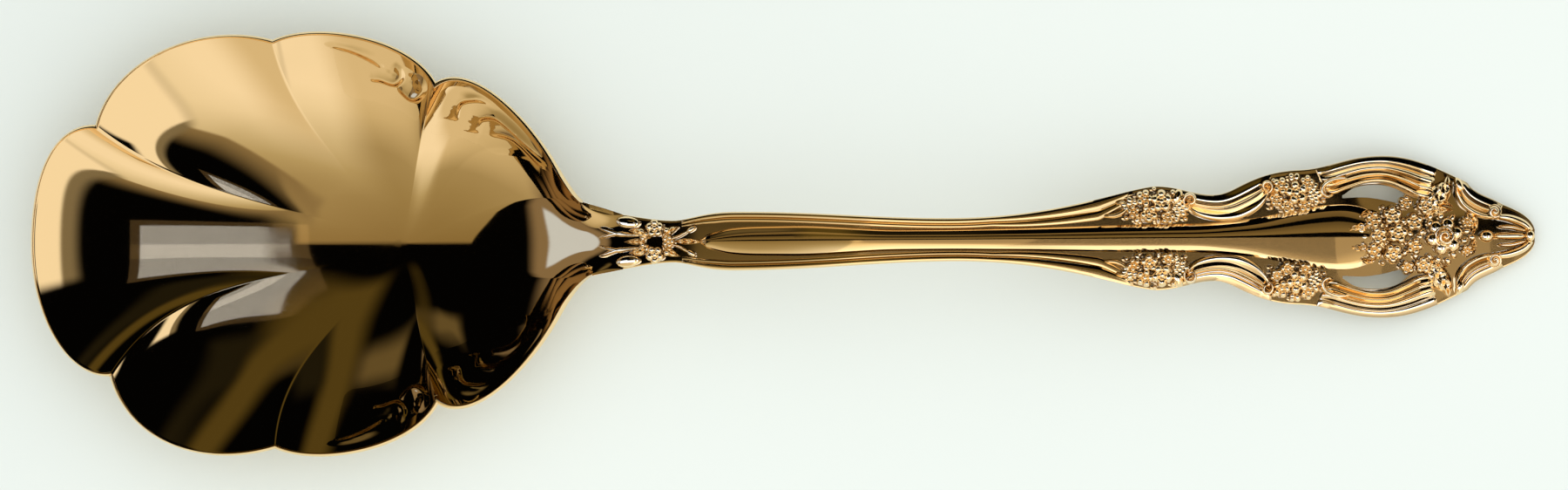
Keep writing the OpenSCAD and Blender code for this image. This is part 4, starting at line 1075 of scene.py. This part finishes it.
class SPOON_OT_bowl_scrolls(bpy.types.Operator):
    """Build the scrolls that swell from the rim of the bowl"""

    bl_idname = "spoon.bowl_scrolls"
    bl_label = "Bowl scrolls"

    # Crests as (distance before the neck joint, distance from the middle), then the rise and the fade
    RIM = (
        (((46.9, 30.4), (41.4, 29.3), (37.8, 27.6), (36.1, 26.3)), 0.35, 2.0),
        (((38.3, 24.7), (36.7, 24.7), (34.5, 24.1), (33.2, 25), (33.2, 26.1), (34.1, 27.4)), 0.5, 1.2),
        (((34.1, 23.5), (32.2, 21.9), (30.6, 22), (29.7, 23), (29.7, 24.8), (30.4, 25.9)), 0.6, 1.4),
    )
    SHOULDER = (
        (((25.1, 18.6), (24.9, 20.3), (24.1, 21.4), (22, 21.7), (20.2, 21.1), (18.7, 20.1)), 0.5, 1.6),
        ((
            (22, 16.6), (21.8, 17.9), (21.1, 18.8), (19.2, 18.8),
            (17.2, 17.5), (15.5, 16), (12.7, 13.2), (10.5, 10.8),
        ), 0.6, 1.8),
        (((20.2, 16.4), (17.6, 16), (15.5, 14.7), (12.2, 11.2)), 0.3, 1.2),
    )
    # Patches as (spans of the rim's segments, crests, start on the way out to the rim)
    PATCHES = {
        "rim_scroll": (((2, 0.25, 1, 70),), RIM, 0.68),
        "shoulder_scroll": (((3, 0, 1, 70), (4, 0.02, 0.25, 24)), SHOULDER, 0.62),
    }
    # Strength of the crests, lift of a patch, and how far its border and its underside lie below the bowl
    STRENGTH, LIFT, BORDER_DEPTH, DEPTH = 1.4, 0.045, 0.03, 0.3

    def execute(self, context):
        bowl, _ = shapes(context)
        for side, end in ((1, "left"), (-1, "right")):
            for name, patch in self.PATCHES.items():
                skin = self.patch(bowl, side, *patch)
                skin.piece(f"{name}_{end[0]}", "ornament_gold", f"{name}_{end}", finish="bowl_gold")
        return {"FINISHED"}

    def patch(self, bowl, side, spans, crests, start):
        """A thin patch of the bowl's surface that sinks under it all round and swells along its crests."""
        u = np.linspace(start, 0.985, 44)[:, None]
        parts = [bowl.stations(side, k, np.linspace(t0, t1, steps)) for k, t0, t1, steps in spans]
        st = {key: np.concatenate([p[key] for p in parts]) for key in parts[0]}
        seat = bowl.inside(u, st)
        up = unit(np.cross(np.gradient(seat, axis=0), np.gradient(seat, axis=1)))
        up *= np.sign(up[..., 2:])
        along = np.linspace(0, 1, seat.shape[1])[None, :]
        across = (u - start) / (u[-1] - start)
        window = smooth(np.minimum(along, 1 - along) / 0.2)
        window = window * smooth(across / 0.3) * smooth((1 - across) / 0.15)
        lift = np.zeros(seat.shape[:2])
        for points, rise, fade in crests:
            route = spline([(bowl.neck - d, side * y) for d, y in points], 90)
            lift += self.STRENGTH * rise * self.ledge(seat, route, side, fade)
        top = seat + up * (window * (self.LIFT + lift) - self.BORDER_DEPTH)[..., None]
        under = seat - up * self.DEPTH
        skin = Skin()
        skin.tube(np.concatenate([top, under[::-1]]).swapaxes(0, 1), strips=True)
        return skin

    def ledge(self, seat, route, side, fade, soft=0.4):
        """A crest along a route: it drops at once on one side and fades out on the other."""
        gap = seat[..., None, :2] - route
        near = np.argmin((gap ** 2).sum(-1), -1)
        off = np.take_along_axis(gap, near[..., None, None], -2)[..., 0, :]
        beside = side * (off * across_of(route)[near]).sum(-1)
        far = np.sign(beside) * np.linalg.norm(off, axis=-1)
        ends = np.sin(np.pi * np.clip(near / (len(route) - 1), 0.001, 0.999)) ** 0.6
        return ends * smooth((far + soft) / (2 * soft)) * np.exp(-np.maximum(far, 0) / fade)


class SPOON_OT_stage(bpy.types.Operator):
    """Lay the table, the light and the camera"""

    bl_idname = "spoon.stage"
    bl_label = "Stage"

    # Photograph: size in pixels, where the spoon's origin lies in it and how far the spoon is turned
    FRAME, ORIGIN, TURN = (1800, 562), (903.0, 276.3), 0.39
    SENSOR_MM = 36
    # Cards far above the table: box as shares of their height, near and far glow, and what mirrors them
    CARD_HEIGHT = 3.0
    CARDS = {
        "window": ((0.075, 0.40, -0.07, 0.265), ((0.70, 0.87, 1.30),), ("bowl_gold", "ornament_gold")),
        "window_frame": ((0.045, 0.45, -0.10, 0.30), ((0.08, 0.06, 0.035),), ("bowl_gold",)),
        "side_wall": (
            (0.07, 1.2, -3.0, 0.0), ((0.98, 0.92, 0.82), (0.42, 0.33, 0.20)),
            ("handle_gold", "ornament_gold"),
        ),
        "beam": ((-1.2, 1.2, 0.10, 0.32), ((0.22, 0.16, 0.065), (0.12, 0.085, 0.035)), ("handle_gold",)),
        "far_beam": ((-1.2, 1.2, 0.44, 0.62), ((0.14, 0.10, 0.04), (0.20, 0.14, 0.06)), ("handle_gold",)),
        "lamp": ((-0.12, 0.05, 0.20, 0.30), ((1.5, 2.0, 3.5),), ("ornament_gold",)),
        "low_lamp": ((-0.8, 0.07, -0.85, -0.10), ((1.5, 2.0, 3.4),), ("ornament_gold",)),
        "far_lamp": ((-1.7, -0.8, -0.9, 0.1), ((1.5, 2.0, 3.5),), ("ornament_gold",)),
        "third_lamp": ((0.45, 1.3, -0.9, 0.1), ((1.5, 2.0, 3.5),), ("ornament_gold",)),
    }
    # The room that the spoon mirrors: patches of its dark side as boxes of directions, softness and tone
    BLACK = (0.001, 0.001, 0.001)
    BROWNS = (
        ((-0.085, 0.10), (0.18, 2), 0.06, (0.088, 0.064, 0.016)),
        ((-0.44, -0.11), (0.55, 0.74), 0.07, (0.13, 0.10, 0.045)),
        ((0.10, 0.29), (0.37, 0.74), 0.06, (0.014, 0.012, 0.006)),
    )
    DULL_WALL = (
        (0.0, (0.27, 0.20, 0.085)), (0.33, (0.36, 0.29, 0.15)), (0.5, (0.41, 0.34, 0.195)),
        (0.68, (0.65, 0.565, 0.39)), (0.8, (0.74, 0.65, 0.48)),
    )
    PALE_WALL = (
        (0.0, (0.30, 0.225, 0.105)), (0.2, (0.38, 0.31, 0.17)), (0.36, (0.51, 0.445, 0.28)),
        (0.5, (0.68, 0.625, 0.48)), (0.68, (0.91, 0.86, 0.75)), (0.8, (1.0, 0.95, 0.87)),
    )
    DUSK, END_EDGE, END_WALL = (0.26, 0.20, 0.11), (0.22, 0.19, 0.13), (1.0, 0.95, 0.86)
    BACK_WALL, BACK_WINDOW = (0.25, 0.19, 0.12), (0.62, 0.76, 1.10)
    # Soft light on everything else, from low and high directions, on the closed and the open side
    CLOSED_SIDE = (0.45, 0.46, 0.45), (1.32, 1.34, 1.33)
    OPEN_SIDE = (0.75, 0.76, 0.75), (1.42, 1.44, 1.43)

    def execute(self, context):
        look = context.scene.spoon_studio
        self.table(context, look)
        self.camera(context, look)
        self.light(context)
        self.cards(context)
        context.scene.view_settings.view_transform = "Standard"
        return {"FINISHED"}

    def table(self, context, look):
        bpy.ops.mesh.primitive_plane_add(size=6, location=(0, 0, -0.05 * MM))
        table = context.object
        table.name = "table_top"
        paint, wire, shader = new_material("table_paint")
        place = wire.node("ShaderNodeTexCoord", out=3)
        x, y, _ = place.axes()
        grain = wire.node("ShaderNodeTexNoise", values={"Vector": place, "Scale": 40, "Detail": 3})
        # Painted shade: the table darkens towards the bowl's end on the side where y is above 0, standing in
        # for light falling off there; the faint noise is the table's own grain
        shade = (y * 1.2 - x * 0.8).step(-0.02, 0.14) * 0.07 + (grain - 0.5) * 0.012
        shade.blend(look.table, (0, 0, 0)).feed(shader, "Base Color")
        shader.inputs["Roughness"].default_value = 0.7
        shader.inputs["Specular IOR Level"].default_value = 0.1
        table.data.materials.append(paint)

    def camera(self, context, look):
        camera = bpy.data.cameras.new("camera")
        camera.sensor_width = self.SENSOR_MM
        camera.lens = self.SENSOR_MM * look.view_height / look.view_width
        camera.clip_start = 0.01
        eye = bpy.data.objects.new("camera", camera)
        pixel = look.view_width / self.FRAME[0]
        eye.location = (
            (self.FRAME[0] / 2 - self.ORIGIN[0]) * pixel,
            (self.ORIGIN[1] - self.FRAME[1] / 2) * pixel,
            look.view_height,
        )
        eye.rotation_euler = (0, 0, -math.radians(self.TURN))
        context.scene.collection.objects.link(eye)
        context.scene.camera = eye

    def cards(self, context):
        """Glowing cards that add to the room as the bowl, the handle or the ornament mirrors it."""
        for name, (box, glows, slots) in self.CARDS.items():
            x0, x1, y0, y1 = (self.CARD_HEIGHT * share for share in box)
            mesh = bpy.data.meshes.new(name)
            mesh.from_pydata([(x0, y0, 0), (x1, y0, 0), (x1, y1, 0), (x0, y1, 0)], [], [(0, 1, 2, 3)])
            card = bpy.data.objects.new(name, mesh)
            card.location = (0, 0, self.CARD_HEIGHT)
            context.scene.collection.objects.link(card)
            glow, wire, _ = new_material(name)
            glow.cycles.emission_sampling = "NONE"
            _, y, _ = wire.node("ShaderNodeTexCoord", out=3).axes()
            tint = y.step(y0, y1).blend(glows[0], glows[-1])
            light = wire.node("ShaderNodeEmission", values={"Color": tint})
            clear = wire.node("ShaderNodeBsdfTransparent")
            both = wire.node("ShaderNodeAddShader", values={0: light, 1: clear})
            both.feed(glow.node_tree.nodes["Material Output"], "Surface")
            mesh.materials.append(glow)
            card.visible_camera = card.visible_diffuse = card.visible_shadow = False
            mirrors = [PLATING[slot] for slot in slots]
            lit = bpy.data.collections.new(name)
            for piece in context.scene.objects:
                if piece.type == "MESH" and piece.active_material and piece.active_material.name in mirrors:
                    lit.objects.link(piece)
            card.light_linking.receiver_collection = lit

    def light(self, context):
        """A room that only mirror rays see, and soft light for all others.

        Directions have x along the handle, y across it and z up. The room is dark where y is above 0, with a
        pale wall where y is below 0, a bright wall at the handle's end and a window at the bowl's end.
        """
        world = bpy.data.worlds.new("studio")
        context.scene.world = world
        world.use_nodes = True
        world.cycles.sampling_method = "NONE"
        wire = Wire(world.node_tree)
        x, y, z = wire.node("ShaderNodeTexCoord").axes()
        back, rise = 0 - x, 0 - y
        room = self.BLACK
        for across, along, soft, tone in self.BROWNS:
            room = (x.between(*across, soft) * y.between(*along, soft)).blend(room, tone)
        side = x.step(-0.22, 0.06).blend(wire.ramp(rise, self.DULL_WALL), wire.ramp(rise, self.PALE_WALL))
        wall = (x - y * 0.8).step(-0.42, -0.40) * (1 - x.step(0.08, 0.10)) * (1 - y.step(-0.012, 0.012))
        room = wall.blend(room, side)
        low = y + 0.53 - 0.53 * wire.math("EXPONENT", x * -7.7, 0)
        room = ((1 - low.step(-0.03, 0.20)) * x.step(0.05, 0.07)).blend(room, self.DUSK)
        room = ((1 - low.step(-0.03, 0.0)) * x.step(0.03, 0.05)).blend(room, side)
        end = x * x + y * y * 1.05
        gap = x.step(0.73, 0.77) * (1 - x.step(0.90, 0.93)) * y.step(-0.17, -0.12)
        near = (1 - y.step(0.14, 0.20)) * x.step(0.3, 0.4) * (1 - gap)
        room = (end.step(0.37, 0.42) * near).blend(room, self.END_EDGE)
        room = (end.step(0.44, 0.46) * near).blend(room, self.END_WALL)
        room = back.step(0.79, 0.865).blend(room, self.BACK_WALL)
        window = back.step(0.885, 0.90) * y.step(-0.36, -0.32) * (1 - y.step(0.26, 0.30))
        room = window.blend(room, self.BACK_WINDOW)
        high = z.step(0, 1)
        soft = rise.step(-1, 1).blend(high.blend(*self.CLOSED_SIDE), high.blend(*self.OPEN_SIDE))
        glossy = wire.node("ShaderNodeLightPath", out=3)
        glossy.blend(soft, room).feed(world.node_tree.nodes["Background"], "Color")


class SPOON_PT_panel(bpy.types.Panel):
    """Sizes, finish and parts of the spoon"""

    bl_label = "Casserole Spoon"
    bl_space_type = "VIEW_3D"
    bl_region_type = "UI"
    bl_category = "Spoon"

    def draw(self, context):
        for name, group in GROUPS.items():
            for key in group.__annotations__:
                self.layout.prop(getattr(context.scene, name), key)
        for part in PARTS:
            self.layout.operator(part.bl_idname)


PARTS = (
    SPOON_OT_finishes, SPOON_OT_bowl, SPOON_OT_bowl_scrolls, SPOON_OT_blank, SPOON_OT_panel, SPOON_OT_rails,
    SPOON_OT_scrolls, SPOON_OT_flowers, SPOON_OT_neck, SPOON_OT_stage,
)
GROUPS = {"spoon_sizes": SpoonSizes, "spoon_finish": SpoonFinish, "spoon_studio": SpoonStudio}
CLASSES = (*GROUPS.values(), *PARTS, SPOON_PT_panel)


def register():
    for made in CLASSES:
        bpy.utils.register_class(made)
    for name, group in GROUPS.items():
        setattr(bpy.types.Scene, name, PointerProperty(type=group))


def unregister():
    for name in GROUPS:
        delattr(bpy.types.Scene, name)
    for made in reversed(CLASSES):
        bpy.utils.unregister_class(made)


def main():
    register()
    for part in PARTS:
        area, name = part.bl_idname.split(".")
        getattr(getattr(bpy.ops, area), name)()


if __name__ == "__main__":
    main()
